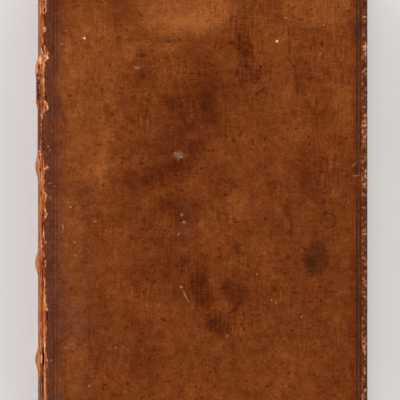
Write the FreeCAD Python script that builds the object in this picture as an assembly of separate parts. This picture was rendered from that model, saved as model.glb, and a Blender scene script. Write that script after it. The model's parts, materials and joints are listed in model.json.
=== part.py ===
"""An old calf-bound octavo: a sewn text block between two pasteboard covers, under one skin of leather.

The book lies on its rear cover. +Z runs from the rear cover up to the front cover, +Y from tail to head
and +X from the spine to the fore-edge. The origin is under the middle of the book, on the surface that it
lies on. Everything is in millimetres.
"""

import FreeCAD, Part
import math
import os

from FreeCAD import Vector

# Covers
cover_height = 200.0  # tail edge to head edge, over the leather
cover_width = 123.5  # joint line to fore-edge, over the leather
board = 2.6  # pasteboard thickness
leather = 0.7  # calf, as it lies on boards and spine
turn_in = 0.4  # pared leather turned over onto the inner face
turn_in_width = 14.0
corner_round = 2.5  # outer corners of a cover, worn round
edge_round = 1.0  # leather rolled over the outer edge of a board
inner_edge_round = 0.4  # the same on the inner edge

# Blind lines: two parallel grooves pressed into the leather round each cover
line_inset = 2.8  # cover edge to the first groove's middle
joint_line_inset = 4.1  # joint line to the first groove's middle
line_pitch = 1.2
line_width = 0.5
line_depth = 0.2

# Text block
text_thickness = 27.4
square = 3.5  # how far the covers stand out past the leaves
fore_edge_hollow = 1.0  # sagitta of the hollow fore-edge
endpaper = 0.2
paste_margin = 3.0  # turned-in leather left bare round a pastedown
paste_lap = 0.2  # width of the step where a pastedown climbs onto the leather
closing_gap = 0.2  # air between a pastedown and the leaf under it

# Spine
spine_rise = 1.0  # sagitta of the leaves' rounded back
shoulder_width = 0.6  # top of the backed shoulder
shoulder_round = 0.5
joint_gap = 0.3  # opening between shoulder and board
glue = 0.1  # layer between the leaves' folds and the skin

# Sewing supports and the ridges that they make under the leather
band_count = 4
band_pitch = 37.0
cord_width = 4.6
cord_rise = 1.0
cord_round = 0.8
cord_short = 0.6  # left free at each end of a cord, before the shoulder's face
band_end_round = 2.4  # how a ridge runs out onto the joint
slip_length = 9.0  # frayed cord end let into the outer face of a board
slip_depth = 0.5
slip_hole = 2.6  # diameter of the lacing hole
pad_length = 6.0  # cord end pasted flat on the inner face
slip_clearance = 0.1

# Endbands and the leather caps that fold over them
endband = 1.8  # diameter
endband_short = 1.2  # left free at each end, before the board
cap_depth = 1.0  # how far the leather cap reaches in over the endband
cap_round = 0.5

same = 1e-6  # two places closer than this are one

# Heights and places that follow
cover_depth = leather + board + turn_in + endpaper
book_thickness = text_thickness + 2 * (cover_depth + closing_gap + endpaper)
middle = book_thickness / 2
spine_depth = joint_gap / 2 + shoulder_width + spine_rise + leather + cord_rise
fore_edge = (cover_width + spine_depth) / 2
joint = fore_edge - cover_width
shoulder = joint - joint_gap / 2
board_back = joint + joint_gap / 2
text_edge = fore_edge - square
text_half = cover_height / 2 - square
cap_half = text_half + endband + leather
shoulder_half = middle - leather  # half of the text block's thickness at its shoulders
spine_radius = (shoulder_half**2 + spine_rise**2) / (2 * spine_rise)
spine_edge = shoulder - shoulder_width - spine_rise  # furthest line of the leaves' back
spine_centre = spine_edge + spine_radius
leaf_level = middle + text_thickness / 2
board_low = book_thickness - leather - board  # inner face of the front board
board_high = book_thickness - leather
leather_low = board_low - turn_in
band_places = [band_pitch * (i - (band_count - 1) / 2) for i in range(band_count)]


def block(x0, x1, y0, y1, z0, z1):
    """A rectangular block between two corners."""
    return Part.makeBox(x1 - x0, y1 - y0, z1 - z0, Vector(x0, y0, z0))


def edges_where(shape, test):
    """The edges whose middle point passes the test."""
    found = []
    for edge in shape.Edges:
        point = edge.valueAt((edge.FirstParameter + edge.LastParameter) / 2)
        if test(edge, point):
            found.append(edge)
    return found


def near(a, b):
    return abs(a - b) < same


def runs_along(edge, axis):
    """True for a straight edge along the axis."""
    if not isinstance(edge.Curve, Part.Line):
        return False
    return near(abs(edge.Curve.Direction.dot(axis)), 1)


def rounded_slab(x0, x1, half_height, z0, z1, radius):
    """A slab with its two fore-edge corners rounded."""
    slab = block(x0, x1, -half_height, half_height, z0, z1)
    corners = edges_where(slab, lambda e, p: runs_along(e, Vector(0, 0, 1)) and near(p.x, x1))
    return slab.makeFillet(radius, corners)


def spine_form(y0, y1, offset, half, round_radius):
    """The solid between the shoulder plane and the rounded back, pushed outwards by an offset.

    The back is an arc about a far centre, so every layer on the spine has the same centre. The two long
    corners, where the back meets the flat shoulders at half above and below the middle, are rounded.
    """
    reach = spine_radius + offset

    def on_arc(height):
        return Vector(spine_centre - math.sqrt(reach**2 - height**2), y0, middle + height)

    high, apex, low = on_arc(half), on_arc(0), on_arc(-half)
    top, bottom = Vector(shoulder, y0, middle + half), Vector(shoulder, y0, middle - half)
    outline = Part.Wire(
        [
            Part.makeLine(top, high),
            Part.Arc(high, apex, low).toShape(),
            Part.makeLine(low, bottom),
            Part.makeLine(bottom, top),
        ]
    )
    solid = Part.Face(outline).extrude(Vector(0, y1 - y0, 0))
    corners = edges_where(solid, lambda e, p: runs_along(e, Vector(0, 1, 0)) and not near(p.x, shoulder))
    return solid.makeFillet(round_radius, corners)


def band_form(place, width, offset, half, end_round, side_round):
    """A raised band: a strip of the spine's form, with its two sides rolled over."""
    y0, y1 = place - width / 2, place + width / 2
    strip = spine_form(y0, y1, offset, half, end_round)

    def on_side(edge, point):
        against_block = runs_along(edge, Vector(0, 0, 1)) and near(point.x, shoulder)
        return (near(point.y, y0) or near(point.y, y1)) and not against_block

    return strip.makeFillet(side_round, edges_where(strip, on_side))


def make_text_block():
    """The sewn leaves as one solid: square shoulders, a gently rounded back and a hollow fore-edge."""
    low, high = middle - text_thickness / 2, leaf_level
    corners = [Vector(shoulder, -text_half, low), Vector(shoulder, -text_half, high)]
    hollow = Vector(text_edge - fore_edge_hollow, -text_half, middle)
    top, bottom = Vector(text_edge, -text_half, high), Vector(text_edge, -text_half, low)
    outline = Part.Wire(
        [
            Part.makeLine(corners[0], corners[1]),
            Part.makeLine(corners[1], top),
            Part.Arc(top, hollow, bottom).toShape(),
            Part.makeLine(bottom, corners[0]),
        ]
    )
    leaves = Part.Face(outline).extrude(Vector(0, 2 * text_half, 0))
    back = spine_form(-text_half, text_half, 0, shoulder_half, shoulder_round)
    return leaves.fuse(back).removeSplitter()


def make_flyleaf():
    """The free endpaper, lying on the leaves."""
    return block(shoulder, text_edge, -text_half, text_half, leaf_level, leaf_level + endpaper)


def make_sewing_cord(place):
    """One raised sewing support, flattened against the folds of the sections."""
    form = band_form(place, cord_width, cord_rise, shoulder_half - cord_short, cord_round, cord_round)
    return form.cut(spine_form(-text_half, text_half, 0, shoulder_half, shoulder_round))


def make_endband(side):
    """A sewn band on a round core, on the end of the leaves just inside the back. side is 1 at the head."""
    reach = spine_radius - endband / 2
    half_turn = math.degrees(math.asin((text_thickness / 2 - endband_short) / reach))
    centre = Vector(spine_centre - reach, side * (text_half + endband / 2), middle)
    core = Part.Face(Part.Wire(Part.makeCircle(endband / 2, centre, Vector(0, 0, 1))))
    axis_point = Vector(spine_centre, 0, middle)
    core.rotate(axis_point, Vector(0, 1, 0), -half_turn)
    return core.revolve(axis_point, Vector(0, 1, 0), 2 * half_turn)


def make_cap(side):
    """The leather folded over an endband: a lip that reaches in from the spine's skin."""
    y0, y1 = sorted((side * cap_half, side * (cap_half - leather)))
    skin = spine_form(y0, y1, leather, middle, shoulder_round + leather)
    beyond = block(spine_edge + cap_depth, joint, y0, y1, 0, book_thickness)
    cap = skin.cut(beyond)
    rim = edges_where(cap, lambda e, p: near(p.y, side * cap_half) and p.x < spine_edge)
    return cap.makeFillet(cap_round, rim)


def make_spine_leather(cords):
    """The skin over the back, with a ridge over each cord and a cap over each endband."""
    skin = spine_form(-cap_half + leather, cap_half - leather, leather, middle, shoulder_round + leather)
    ridges = [
        band_form(
            place,
            cord_width + 2 * leather,
            leather + cord_rise,
            middle,
            band_end_round,
            cord_round + leather,
        )
        for place in band_places
    ]
    skin = skin.fuse(ridges)
    hollow = spine_form(-cap_half, cap_half, glue, shoulder_half + glue, shoulder_round + glue)
    skin = skin.cut(hollow).cut(cords)
    return skin.fuse([make_cap(1), make_cap(-1)]).removeSplitter()


def slip_form(place, clearance):
    """A cord's frayed end: along the board's outer face, through its hole, and flat on the inner face."""
    half = cord_width / 2 + clearance
    far = board_back + slip_length
    strap_low = board_high - slip_depth
    strap = block(board_back, far + clearance, place - half, place + half, strap_low, board_high)
    hole_x = far - cord_width / 2
    hole = Part.makeCylinder(slip_hole / 2 + clearance, board, Vector(hole_x, place, board_low))
    pad_end = hole_x + pad_length + clearance
    pad_start = hole_x - cord_width / 2 - clearance
    pad = block(pad_start, pad_end, place - half, place + half, board_low, board_low + slip_depth)
    return strap.fuse([hole, pad]).removeSplitter()


def board_form():
    """The front pasteboard before it is cut."""
    far, half_height = fore_edge - leather, cover_height / 2 - leather
    return rounded_slab(board_back, far, half_height, board_low, board_high, corner_round - leather)


def make_board():
    """The front pasteboard, cut for the cord slips laced into it."""
    return board_form().cut([slip_form(place, slip_clearance) for place in band_places])


def line_frame(inset):
    """The groove of one blind line round the cover."""
    half = line_width / 2
    top, bottom = book_thickness, book_thickness - line_depth
    x0 = joint + joint_line_inset + inset
    x1 = fore_edge - line_inset - inset
    y1 = cover_height / 2 - line_inset - inset
    outer = block(x0 - half, x1 + half, -y1 - half, y1 + half, bottom, top)
    return outer.cut(block(x0 + half, x1 - half, -y1 + half, y1 - half, bottom, top))


def make_cover_leather():
    """The front cover's leather: outer face, three edges and the turn-ins, round the board's pocket."""
    skin = rounded_slab(board_back, fore_edge, cover_height / 2, leather_low, book_thickness, corner_round)

    def on_rim(p, z):
        return near(p.z, z) and not near(p.x, board_back)

    skin = skin.makeFillet(edge_round, edges_where(skin, lambda e, p: on_rim(p, book_thickness)))
    skin = skin.makeFillet(inner_edge_round, edges_where(skin, lambda e, p: on_rim(p, leather_low)))
    inside = block(
        board_back,
        fore_edge - turn_in_width,
        -cover_height / 2 + turn_in_width,
        cover_height / 2 - turn_in_width,
        leather_low,
        board_low,
    )
    return skin.cut([board_form(), inside, line_frame(0), line_frame(line_pitch)])


def make_pastedown():
    """The paper pasted inside the front cover: flat on the board, lapped onto the turned-in leather."""
    lapped = block(
        board_back,
        fore_edge - paste_margin,
        -cover_height / 2 + paste_margin,
        cover_height / 2 - paste_margin,
        leather_low - endpaper,
        leather_low,
    )
    far, high = fore_edge - turn_in_width, cover_height / 2 - turn_in_width
    panel = block(board_back, far, -high, high, leather_low - endpaper, board_low)
    sunk = block(
        board_back,
        far - paste_lap,
        -high + paste_lap,
        high - paste_lap,
        leather_low - endpaper,
        board_low - endpaper,
    )
    return lapped.fuse(panel).cut(sunk).removeSplitter()


def to_rear(shape):
    """The rear cover's copy of a front piece: its mirror image in the book's middle plane."""
    return shape.mirror(Vector(0, 0, middle), Vector(0, 0, 1))


def make_nodes():
    cords = [make_sewing_cord(place) for place in band_places]
    nodes = {
        "text_block": make_text_block(),
        "front_flyleaf": make_flyleaf(),
        "spine_leather": make_spine_leather(cords),
        "head_endband": make_endband(1),
        "tail_endband": make_endband(-1),
        "front_board": make_board(),
        "front_leather": make_cover_leather(),
        "front_pastedown": make_pastedown(),
    }
    for i, place in enumerate(band_places):
        nodes[f"front_cord_slip_{i + 1}"] = slip_form(place, 0)
    for name in [n for n in nodes if n.startswith("front_")]:
        nodes[name.replace("front_", "rear_")] = to_rear(nodes[name])
    for i, cord in enumerate(cords):
        nodes[f"sewing_cord_{i + 1}"] = cord
    return nodes


os.makedirs("parts", exist_ok=True)
for name, shape in make_nodes().items():
    print(name, len(shape.Solids), shape.isValid(), round(shape.Volume, 1))
    shape.exportStep(f"parts/{name}.step")
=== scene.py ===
# %% [markdown]
# # An old calf-bound octavo
# This file dresses the bare solids of an antique leather book. The solids are the frame: they say where
# every piece is, and they never move. The looks are new skins, papers and threads worked out with numpy.
# Most ride on the body that carries them, so that the covers still open; the joints' skins and the
# paste-downs stay where they are made.

# %% Load the frame
import json
import math

import bpy
import mathutils
import numpy as np
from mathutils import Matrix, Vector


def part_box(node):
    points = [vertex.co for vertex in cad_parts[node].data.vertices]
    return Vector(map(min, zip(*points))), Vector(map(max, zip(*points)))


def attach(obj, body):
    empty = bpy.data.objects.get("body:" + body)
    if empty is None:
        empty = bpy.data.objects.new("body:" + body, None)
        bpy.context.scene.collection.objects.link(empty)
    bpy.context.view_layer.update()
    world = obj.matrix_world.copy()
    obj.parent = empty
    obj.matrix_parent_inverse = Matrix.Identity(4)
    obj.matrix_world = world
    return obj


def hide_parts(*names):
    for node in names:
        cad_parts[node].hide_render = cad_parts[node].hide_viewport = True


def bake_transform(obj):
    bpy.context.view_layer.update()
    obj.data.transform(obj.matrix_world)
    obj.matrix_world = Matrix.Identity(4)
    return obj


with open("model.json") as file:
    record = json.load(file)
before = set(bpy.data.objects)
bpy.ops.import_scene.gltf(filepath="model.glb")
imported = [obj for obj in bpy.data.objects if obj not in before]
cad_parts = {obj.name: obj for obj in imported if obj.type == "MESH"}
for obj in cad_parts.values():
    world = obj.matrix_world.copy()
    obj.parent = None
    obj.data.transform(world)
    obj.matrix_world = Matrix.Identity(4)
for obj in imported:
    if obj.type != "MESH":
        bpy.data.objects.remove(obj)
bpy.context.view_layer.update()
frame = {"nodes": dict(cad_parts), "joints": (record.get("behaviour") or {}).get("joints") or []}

# %% [markdown]
# ## Sizes
# Lengths are in millimetres until a mesh is made, because a bookbinder's sizes are easier to read that
# way. Places come from the solids, and only what the solids can't say is written here.

# %% Sizes
MM = 0.001  # metres in a millimetre


def corners(node):
    """A solid's lowest and highest corner, in millimetres."""
    low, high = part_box(node)
    return np.array(low) / MM, np.array(high) / MM


(board_back, _, inner_face), (fore_edge, cover_half, top) = corners("front_leather")
(spine_edge, _, block_low), (text_edge, text_half, block_high) = corners("text_block")
(spine_low, _, _), (shoulder, cap_half, _) = corners("spine_leather")
(_, _, leaf_level), (fly_edge, fly_half, _) = corners("front_flyleaf")
(_, _, paste_level), (paste_edge, paste_half, _) = corners("front_pastedown")
joint = frame["joints"][0]["pos_m"][0] / MM
middle = top / 2
shoulder_half = (block_high - block_low) / 2
cord_boxes = [corners(f"sewing_cord_{i}") for i in (1, 2, 3, 4)]
band_places = [(low[1] + high[1]) / 2 for low, high in cord_boxes]

SKIN = 0.7  # calf on the boards and the spine
BACK_RISE = 1.0  # how far the leaves' back stands out between its shoulders
spine_radius = (shoulder_half**2 + BACK_RISE**2) / (2 * BACK_RISE)
spine_centre = spine_edge + spine_radius
band_rise = spine_edge - SKIN - spine_low

print("cover:", round(fore_edge - joint, 2), "x", round(2 * cover_half, 2), "mm, thickness", round(top, 2))
print("bands at", [round(float(y), 1) for y in band_places], "standing", round(float(band_rise), 2))

# %% [markdown]
# ## Places in the photograph
# Marks on the leather are placed by the photograph's columns and rows. The photograph looks straight
# down, so a column and a row give a place on the front cover.

# %% Photograph to book
PIXEL = 0.381  # millimetres on the front cover for one pixel
JOINT_COLUMN = 43.3  # the front joint line
MIDDLE_ROW = 214.5  # half way between head and tail


def column_of(x):
    """The photograph's column for a place along x in millimetres."""
    return JOINT_COLUMN + (x - joint) / PIXEL


def row_of(y):
    """The photograph's row for a place along y in millimetres."""
    return MIDDLE_ROW - y / PIXEL


def place_of(column, row):
    """A place on the front cover's face, in metres."""
    return ((joint + (column - JOINT_COLUMN) * PIXEL) * MM, (MIDDLE_ROW - row) * PIXEL * MM, top * MM)


print("the cover's columns:", round(float(column_of(joint)), 1), "to", round(float(column_of(fore_edge)), 1))

# %% [markdown]
# ## Small tools for surfaces
# Every skin is a grid of points: one number runs along it and another across. The grid's cells become the
# faces. Wear needs smooth randomness that is the same at every run, so it comes from fixed seeds.

# %% Surface tools
def ease(value, start, end):
    """0 before start, 1 after end, and a smooth S between them."""
    t = np.clip((value - start) / (end - start), 0, 1)
    return t * t * (3 - 2 * t)


def samples(start, *runs):
    """Places from a start through each run, which is its end and its spacing."""
    places = np.array([start], float)
    for end, spacing in runs:
        count = max(1, round(abs(end - places[-1]) / spacing))
        places = np.concatenate([places, np.linspace(places[-1], end, count + 1)[1:]])
    return places


def wander(x, y, size, seed):
    """Smooth random heights from -1 to 1: one random height per square, eased from corner to corner."""
    lattice = 256
    heights = np.random.default_rng(seed).uniform(-1, 1, (lattice, lattice))
    u, v = np.asarray(x) / size + 17, np.asarray(y) / size + 31
    i, j = np.floor(u).astype(int), np.floor(v).astype(int)
    a, b = ease(u - i, 0, 1), ease(v - j, 0, 1)
    i, j, k, m = i % lattice, j % lattice, (i + 1) % lattice, (j + 1) % lattice
    low = heights[i, j] * (1 - a) + heights[k, j] * a
    high = heights[i, m] * (1 - a) + heights[k, m] * a
    return low * (1 - b) + high * b


def cloud(x, y, size, seed):
    """Three wanders added, each half as wide and half as strong as the one before."""
    return sum(wander(x, y, size / 2**k, seed + k) / 2**k for k in range(3)) / 1.75


def dabs(column, row, strokes):
    """Soft brush strokes: each has two ends, a half width and a strength, which fades to 0 past its width."""
    total = np.zeros(np.broadcast(column, row).shape)
    for c0, r0, c1, r1, half, strength in strokes:
        dc, dr = c1 - c0, r1 - r0
        length_squared = dc * dc + dr * dr + 1e-9
        along = np.clip(((column - c0) * dc + (row - r0) * dr) / length_squared, 0, 1)
        away = np.hypot(column - c0 - along * dc, row - r0 - along * dr)
        total += strength * (1 - ease(away, 0.4 * half, 1.5 * half))
    return total


def grid(rows, columns, start=0):
    """The four points of every cell. A face looks the way of (along a row) cross (from row to row)."""
    first = start + np.arange(rows - 1)[:, None] * columns + np.arange(columns - 1)
    return np.stack([first, first + 1, first + columns + 1, first + columns], -1).reshape(-1, 4)


def back_of(points, cells, thickness):
    """Gives a skin its back: each point moved in by the thickness against its normal, and a rim round it.

    A point's normal is the sum of its cells' normals, which are the cross products of their diagonals. A
    rim face stands on each edge that only one cell has.
    """
    normals = np.zeros_like(points)
    edges = []
    for group in cells:
        ring = points[group]
        facing = np.cross(ring[:, 2] - ring[:, 0], ring[:, -1] - ring[:, 1])
        np.add.at(normals, group.ravel(), np.repeat(facing, group.shape[1], axis=0))
        edges.append(np.stack([group, np.roll(group, -1, axis=1)], -1).reshape(-1, 2))
    normals /= np.linalg.norm(normals, axis=1, keepdims=True) + 1e-12
    edges, count = np.concatenate(edges), len(points)
    lone = edges[~np.isin(edges[:, 0] * count + edges[:, 1], edges[:, 1] * count + edges[:, 0])]
    rim = np.stack([lone[:, 1], lone[:, 0], lone[:, 0] + count, lone[:, 1] + count], -1)
    backs = [group[:, ::-1] + count for group in cells]
    return np.concatenate([points, points - thickness * normals]), [*cells, *backs, rim]


def make_piece(name, points, quads, marks, thickness=0.0, turned=False):
    """A mesh from points in millimetres. Points at one place are merged, and cells that shrink go.

    marks are numbers for each point, kept for the materials to read. turned faces it the other way.
    """
    points = np.asarray(points, float).reshape(-1, 3)
    _, first, merged = np.unique(np.round(points, 4), axis=0, return_index=True, return_inverse=True)
    points, quads = points[first], merged.reshape(-1)[quads]
    quads = quads[:, ::-1] if turned else quads
    same = quads == np.roll(quads, 1, axis=1)
    threes = [np.delete(quads[same[:, k] & (same.sum(1) == 1)], k, axis=1) for k in range(4)]
    cells = [quads[same.sum(1) == 0], np.concatenate(threes)]
    if thickness:
        points, cells = back_of(points, cells, thickness)
    mesh = bpy.data.meshes.new(name)
    mesh.from_pydata((points * MM).tolist(), [], [face for group in cells for face in group.tolist()])
    mesh.shade_smooth()
    mesh.set_sharp_from_angle(angle=math.radians(70))
    for mark, values in marks.items():
        flat = np.asarray(values, float).reshape(-1)[first]
        flat = np.tile(flat, 2) if thickness else flat
        mesh.attributes.new(mark, "FLOAT", "POINT").data.foreach_set("value", flat.astype(np.float32))
    piece = bpy.data.objects.new(name, mesh)
    bpy.context.scene.collection.objects.link(piece)
    print(name, "has", sum(map(len, cells)), "faces")
    return piece


# %% [markdown]
# ## Small tools for materials
# Colours are written as a screen shows them, and one function turns them to linear light. One function
# adds a node, sets it and links it. Pattern sizes are real ones: a noise of size s repeats about every s.

# %% Material tools
MIX_UNDER, MIX_OVER, MIX_COLOUR = 6, 7, 2  # a Mix node's colour inputs and its colour output


def linear(code):
    """A screen colour such as 773a19, as linear red, green and blue, with full opacity."""
    parts = [int(code[i : i + 2], 16) / 255 for i in (0, 2, 4)]
    return [p / 12.92 if p <= 0.04045 else ((p + 0.055) / 1.055) ** 2.4 for p in parts] + [1.0]


def per(size):
    """The texture scale that repeats about every size millimetres."""
    return 1 / (size * MM)


def add(tree, kind, *inputs, out=0, stops=(), **settings):
    """Adds a node, sets it up, fills its inputs and gives one of its outputs.

    The inputs come in their order, or in one dictionary by name or number. Each is a number, a colour
    code or another node's output. stops are a colour ramp's places and colours.
    """
    made = tree.nodes.new("ShaderNode" + kind)
    for key, value in settings.items():
        setattr(made, key, value)
    by_key = inputs[0] if inputs and isinstance(inputs[0], dict) else dict(enumerate(inputs))
    for key, value in by_key.items():
        if isinstance(value, bpy.types.NodeSocket):
            tree.links.new(value, made.inputs[key])
        else:
            made.inputs[key].default_value = linear(value) if isinstance(value, str) else value
    for k, (place, code) in enumerate(stops):
        ramp = made.color_ramp.elements
        stop = ramp[k] if k < 2 else ramp.new(place)
        stop.position, stop.color = place, linear(code)
    return made.outputs[out] if made.outputs else None


def new_material(name, **settings):
    """An empty material: its node tree, its shader with constants set on it, and the object's place."""
    material = bpy.data.materials.new(name)
    material.use_nodes = True
    tree = material.node_tree
    tree.nodes.clear()
    shader = add(tree, "BsdfPrincipled").node
    for key, value in settings.items():
        shader.inputs[key.replace("_", " ")].default_value = value
    add(tree, "OutputMaterial", {"Surface": shader.outputs[0]})
    return material, tree, shader, add(tree, "TexCoord", out="Object")


def dress(piece, material):
    """Gives a piece its material, and prints which one it wears."""
    piece.data.materials.append(material)
    print(piece.name, "wears", material.name)


print("mid calf in linear light:", [round(c, 3) for c in linear("773a19")])

# %% [markdown]
# ## The camera, the floor and the light
# The photograph was taken from straight above, from far enough away that the spine hardly leans. The lens
# follows from the distance, so that one pixel is 0.381 mm on the front cover. The light is a pale sky
# with one broad lamp on the left, which is soft enough to leave almost no shadow.

# %% Camera
CAMERA_HEIGHT = 2400.0  # above the front cover
SENSOR = 36.0
PICTURE = 400  # columns and rows of the photograph

camera_data = bpy.data.cameras.new("camera")
camera_data.sensor_width = SENSOR
camera_data.lens = SENSOR * CAMERA_HEIGHT / (PICTURE * PIXEL)
camera_data.clip_end = 100.0
camera = bpy.data.objects.new("camera", camera_data)
bpy.context.scene.collection.objects.link(camera)
picture_middle = place_of(PICTURE / 2, PICTURE / 2)
camera.location = (picture_middle[0], picture_middle[1], (top + CAMERA_HEIGHT) * MM)
bpy.context.scene.camera = camera
print("lens", round(camera_data.lens, 1), "mm")

# %% Light
WINDOW = ((-1.6, 1.0, 1.9), 15.0)  # each lamp: its place in metres, and its power in watts
FILL = ((1.8, -1.2, 1.6), 9.0)
LAMP_SIZE = 1.6
FLOOR_COLOUR = "fbfdfe"  # what the camera sees
FLOOR_UNSEEN = "e8e8e8"  # what the light that bounces off it sees
SKY_STRENGTH = 1.5
CEILING = 0.05  # the part of the sky right above, behind the camera, is this much of the rest
CEILING_EDGE, CEILING_MIDDLE = 56, 26  # degrees from straight up between which the sky darkens
sky = bpy.data.worlds.new("sky")
bpy.context.scene.world = sky
sky.use_nodes = True
tree = sky.node_tree
height = add(tree, "SeparateXYZ", {"Vector": add(tree, "TexCoord")}, out="Z")
edge_height, middle_height = (math.cos(math.radians(angle)) for angle in (CEILING_EDGE, CEILING_MIDDLE))
inputs = {"Value": height, "From Min": edge_height, "From Max": middle_height}
inputs.update({"To Min": SKY_STRENGTH, "To Max": SKY_STRENGTH * CEILING})
strength = add(tree, "MapRange", inputs, interpolation_type="SMOOTHSTEP")
tree.links.new(strength, tree.nodes["Background"].inputs["Strength"])
tree.nodes["Background"].inputs["Color"].default_value = linear("ffffff")
bpy.context.scene.view_settings.view_transform = "Standard"


def make_lamp(name, place, power):
    """A square lamp at a place in metres, turned towards the book and unseen by the camera."""
    data = bpy.data.lights.new(name, "AREA")
    data.size, data.energy = LAMP_SIZE, power
    lamp = bpy.data.objects.new(name, data)
    bpy.context.scene.collection.objects.link(lamp)
    lamp.location = place
    lamp.rotation_mode = "QUATERNION"
    lamp.rotation_quaternion = mathutils.Vector(place).to_track_quat("Z", "Y")
    lamp.visible_camera = False


make_lamp("window", *WINDOW)
make_lamp("fill", *FILL)
print("sky strength", SKY_STRENGTH, "and two lamps")

# %% Floor
FLOOR_REACH = 30.0  # metres, past every view's edge
mesh = bpy.data.meshes.new("floor")
floor_corners = [(x * FLOOR_REACH, y * FLOOR_REACH, 0) for x, y in ((-1, -1), (1, -1), (1, 1), (-1, 1))]
mesh.from_pydata(floor_corners, [], [(0, 1, 2, 3)])
floor = bpy.data.objects.new("floor", mesh)
bpy.context.scene.collection.objects.link(floor)
paper, tree, shader, place = new_material("matt_backdrop_paper", Roughness=0.95, Specular_IOR_Level=0.0)
ray = add(tree, "LightPath").node.outputs
seen = add(tree, "Math", ray["Is Camera Ray"], ray["Is Glossy Ray"], operation="ADD")
seen = add(tree, "Math", seen, ray["Is Transmission Ray"], operation="ADD", use_clamp=True)
inputs = {"Factor": seen, MIX_UNDER: FLOOR_UNSEEN, MIX_OVER: FLOOR_COLOUR}
colour = add(tree, "Mix", inputs, out=MIX_COLOUR, data_type="RGBA")
tree.links.new(colour, shader.inputs["Base Color"])
floor.data.materials.append(paper)
print("floor", 2 * FLOOR_REACH, "m wide")

# %% [markdown]
# ## The skin's path round the spine
# On the real book the calf is one skin. It runs from the front cover over the joint, round the spine and
# on to the rear cover. It could be cut into three flat sheets, but then the joints would show gaps. So
# one function gives the whole path, and three pieces take their parts of it and meet exactly.

# %% Path round the spine
CORNER, BAND_CORNER = 1.2, 1.2  # the skin's radius at the shoulder, and what a band adds to it
BAND_FLAT, BAND_FOOT = 0.5, 5.2  # half widths of a band's top and of its foot


def band_at(y):
    """How far a raised band lifts the skin at y: 1 on a band's top, 0 between bands."""
    return sum(1 - ease(np.abs(y - place), BAND_FLAT, BAND_FOOT) for place in band_places)


def skin_path(u, y):
    """Points and outward directions across the skin; u is 0 at the middle of the back.

    To u 1 the path follows the back's wide arc, to 2 the shoulder's small arc, to 3 it runs flat to the
    joint line, and past 3 it counts millimetres on the cover. Below 0 it is the same, towards the rear.
    """
    a, side = np.abs(u), np.sign(u)
    band = band_at(y)
    small = CORNER + BAND_CORNER * band
    wide = spine_radius + SKIN + band_rise * band
    small_x = spine_centre - np.sqrt((wide - small) ** 2 - (middle - small) ** 2)
    lean = np.arctan2(middle - small, spine_centre - small_x)
    round_shoulder = (np.clip(a, 1, 2) - 1) * (math.pi / 2 - lean)
    angle = math.pi - np.where(a < 1, a * lean, lean + round_shoulder)
    facing_x, facing_z = np.cos(angle), np.sin(angle)
    flat = np.where(a < 3, small_x + (a - 2) * (joint - small_x), joint + a - 3)
    x = np.where(a < 1, spine_centre + wide * facing_x, np.where(a < 2, small_x + small * facing_x, flat))
    z = np.where(a < 1, wide * facing_z, np.where(a < 2, middle - small + small * facing_z, middle))
    return x, middle + side * z, facing_x, side * facing_z


check_x, check_z, _, _ = skin_path(np.array([0.0, 1, 2, 3, 6]), np.array([0.0] * 5))
print("path x", np.round(check_x, 2), "z", np.round(check_z, 2))

# %% [markdown]
# At the head and the tail the skin turns in. Over the boards it goes round their edges, over the spine it
# makes a small cap on the endband, and in the joint itself there is only the skin. Each end is a short
# profile of places and depths, and the joint's width blends one profile into the next. A bevel would
# round every end alike, and it knows nothing of the board or the endband underneath.

# %% Turned-in ends
EDGE_ROLL, INNER_ROLL = 1.0, 0.4
CAP_ROLL = 0.5
COVER_DEPTH = top - inner_face
turn = np.linspace(0, math.pi / 2, 6)
inner_turn = np.array([math.pi / 4, math.pi / 2])

# places in from the cover's outline, and depths under its face
outer_roll = np.stack([EDGE_ROLL * (1 - np.sin(turn)), EDGE_ROLL * (1 - np.cos(turn))], 1)
inner_depth = COVER_DEPTH - INNER_ROLL * (1 - np.sin(inner_turn))
inner_roll = np.stack([INNER_ROLL * (1 - np.cos(inner_turn)), inner_depth], 1)
cover_edge = np.array([*outer_roll, (0, 2.1), (0, COVER_DEPTH - INNER_ROLL - 0.1), *inner_roll])

# places along the book, and depths under the skin's face
cover_end = np.array([*cover_edge, (8, COVER_DEPTH)]) * (-1, 1) + (cover_half, 0)
cap_roll = np.stack([CAP_ROLL * (1 - np.sin(turn)), CAP_ROLL * (1 - np.cos(turn))], 1)
cap_lip = [(0, 0.8), (0.02, 1.1), (0.08, 1.4), (0.2, 1.65), (0.38, 1.75)]
cap_end = np.array([*cap_roll, *cap_lip]) * (-1, 1) + (cap_half, 0)
crease = [np.linspace(-0.3, 0.2, len(cover_end)), np.linspace(0, 0.6, len(cover_end))]
crease_end = np.stack(crease, 1) + (cap_half, 0)
ends = np.stack([cap_end, crease_end, crease_end, cover_end])
END_STEPS = (0.85, 1.05, 3.15, 3.5)  # where on the skin's path each of those four profiles holds
print("points in each end:", ends.shape[1])

# %% A strip of skin
LEATHER = 0.4  # thickness of the pared calf


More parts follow.
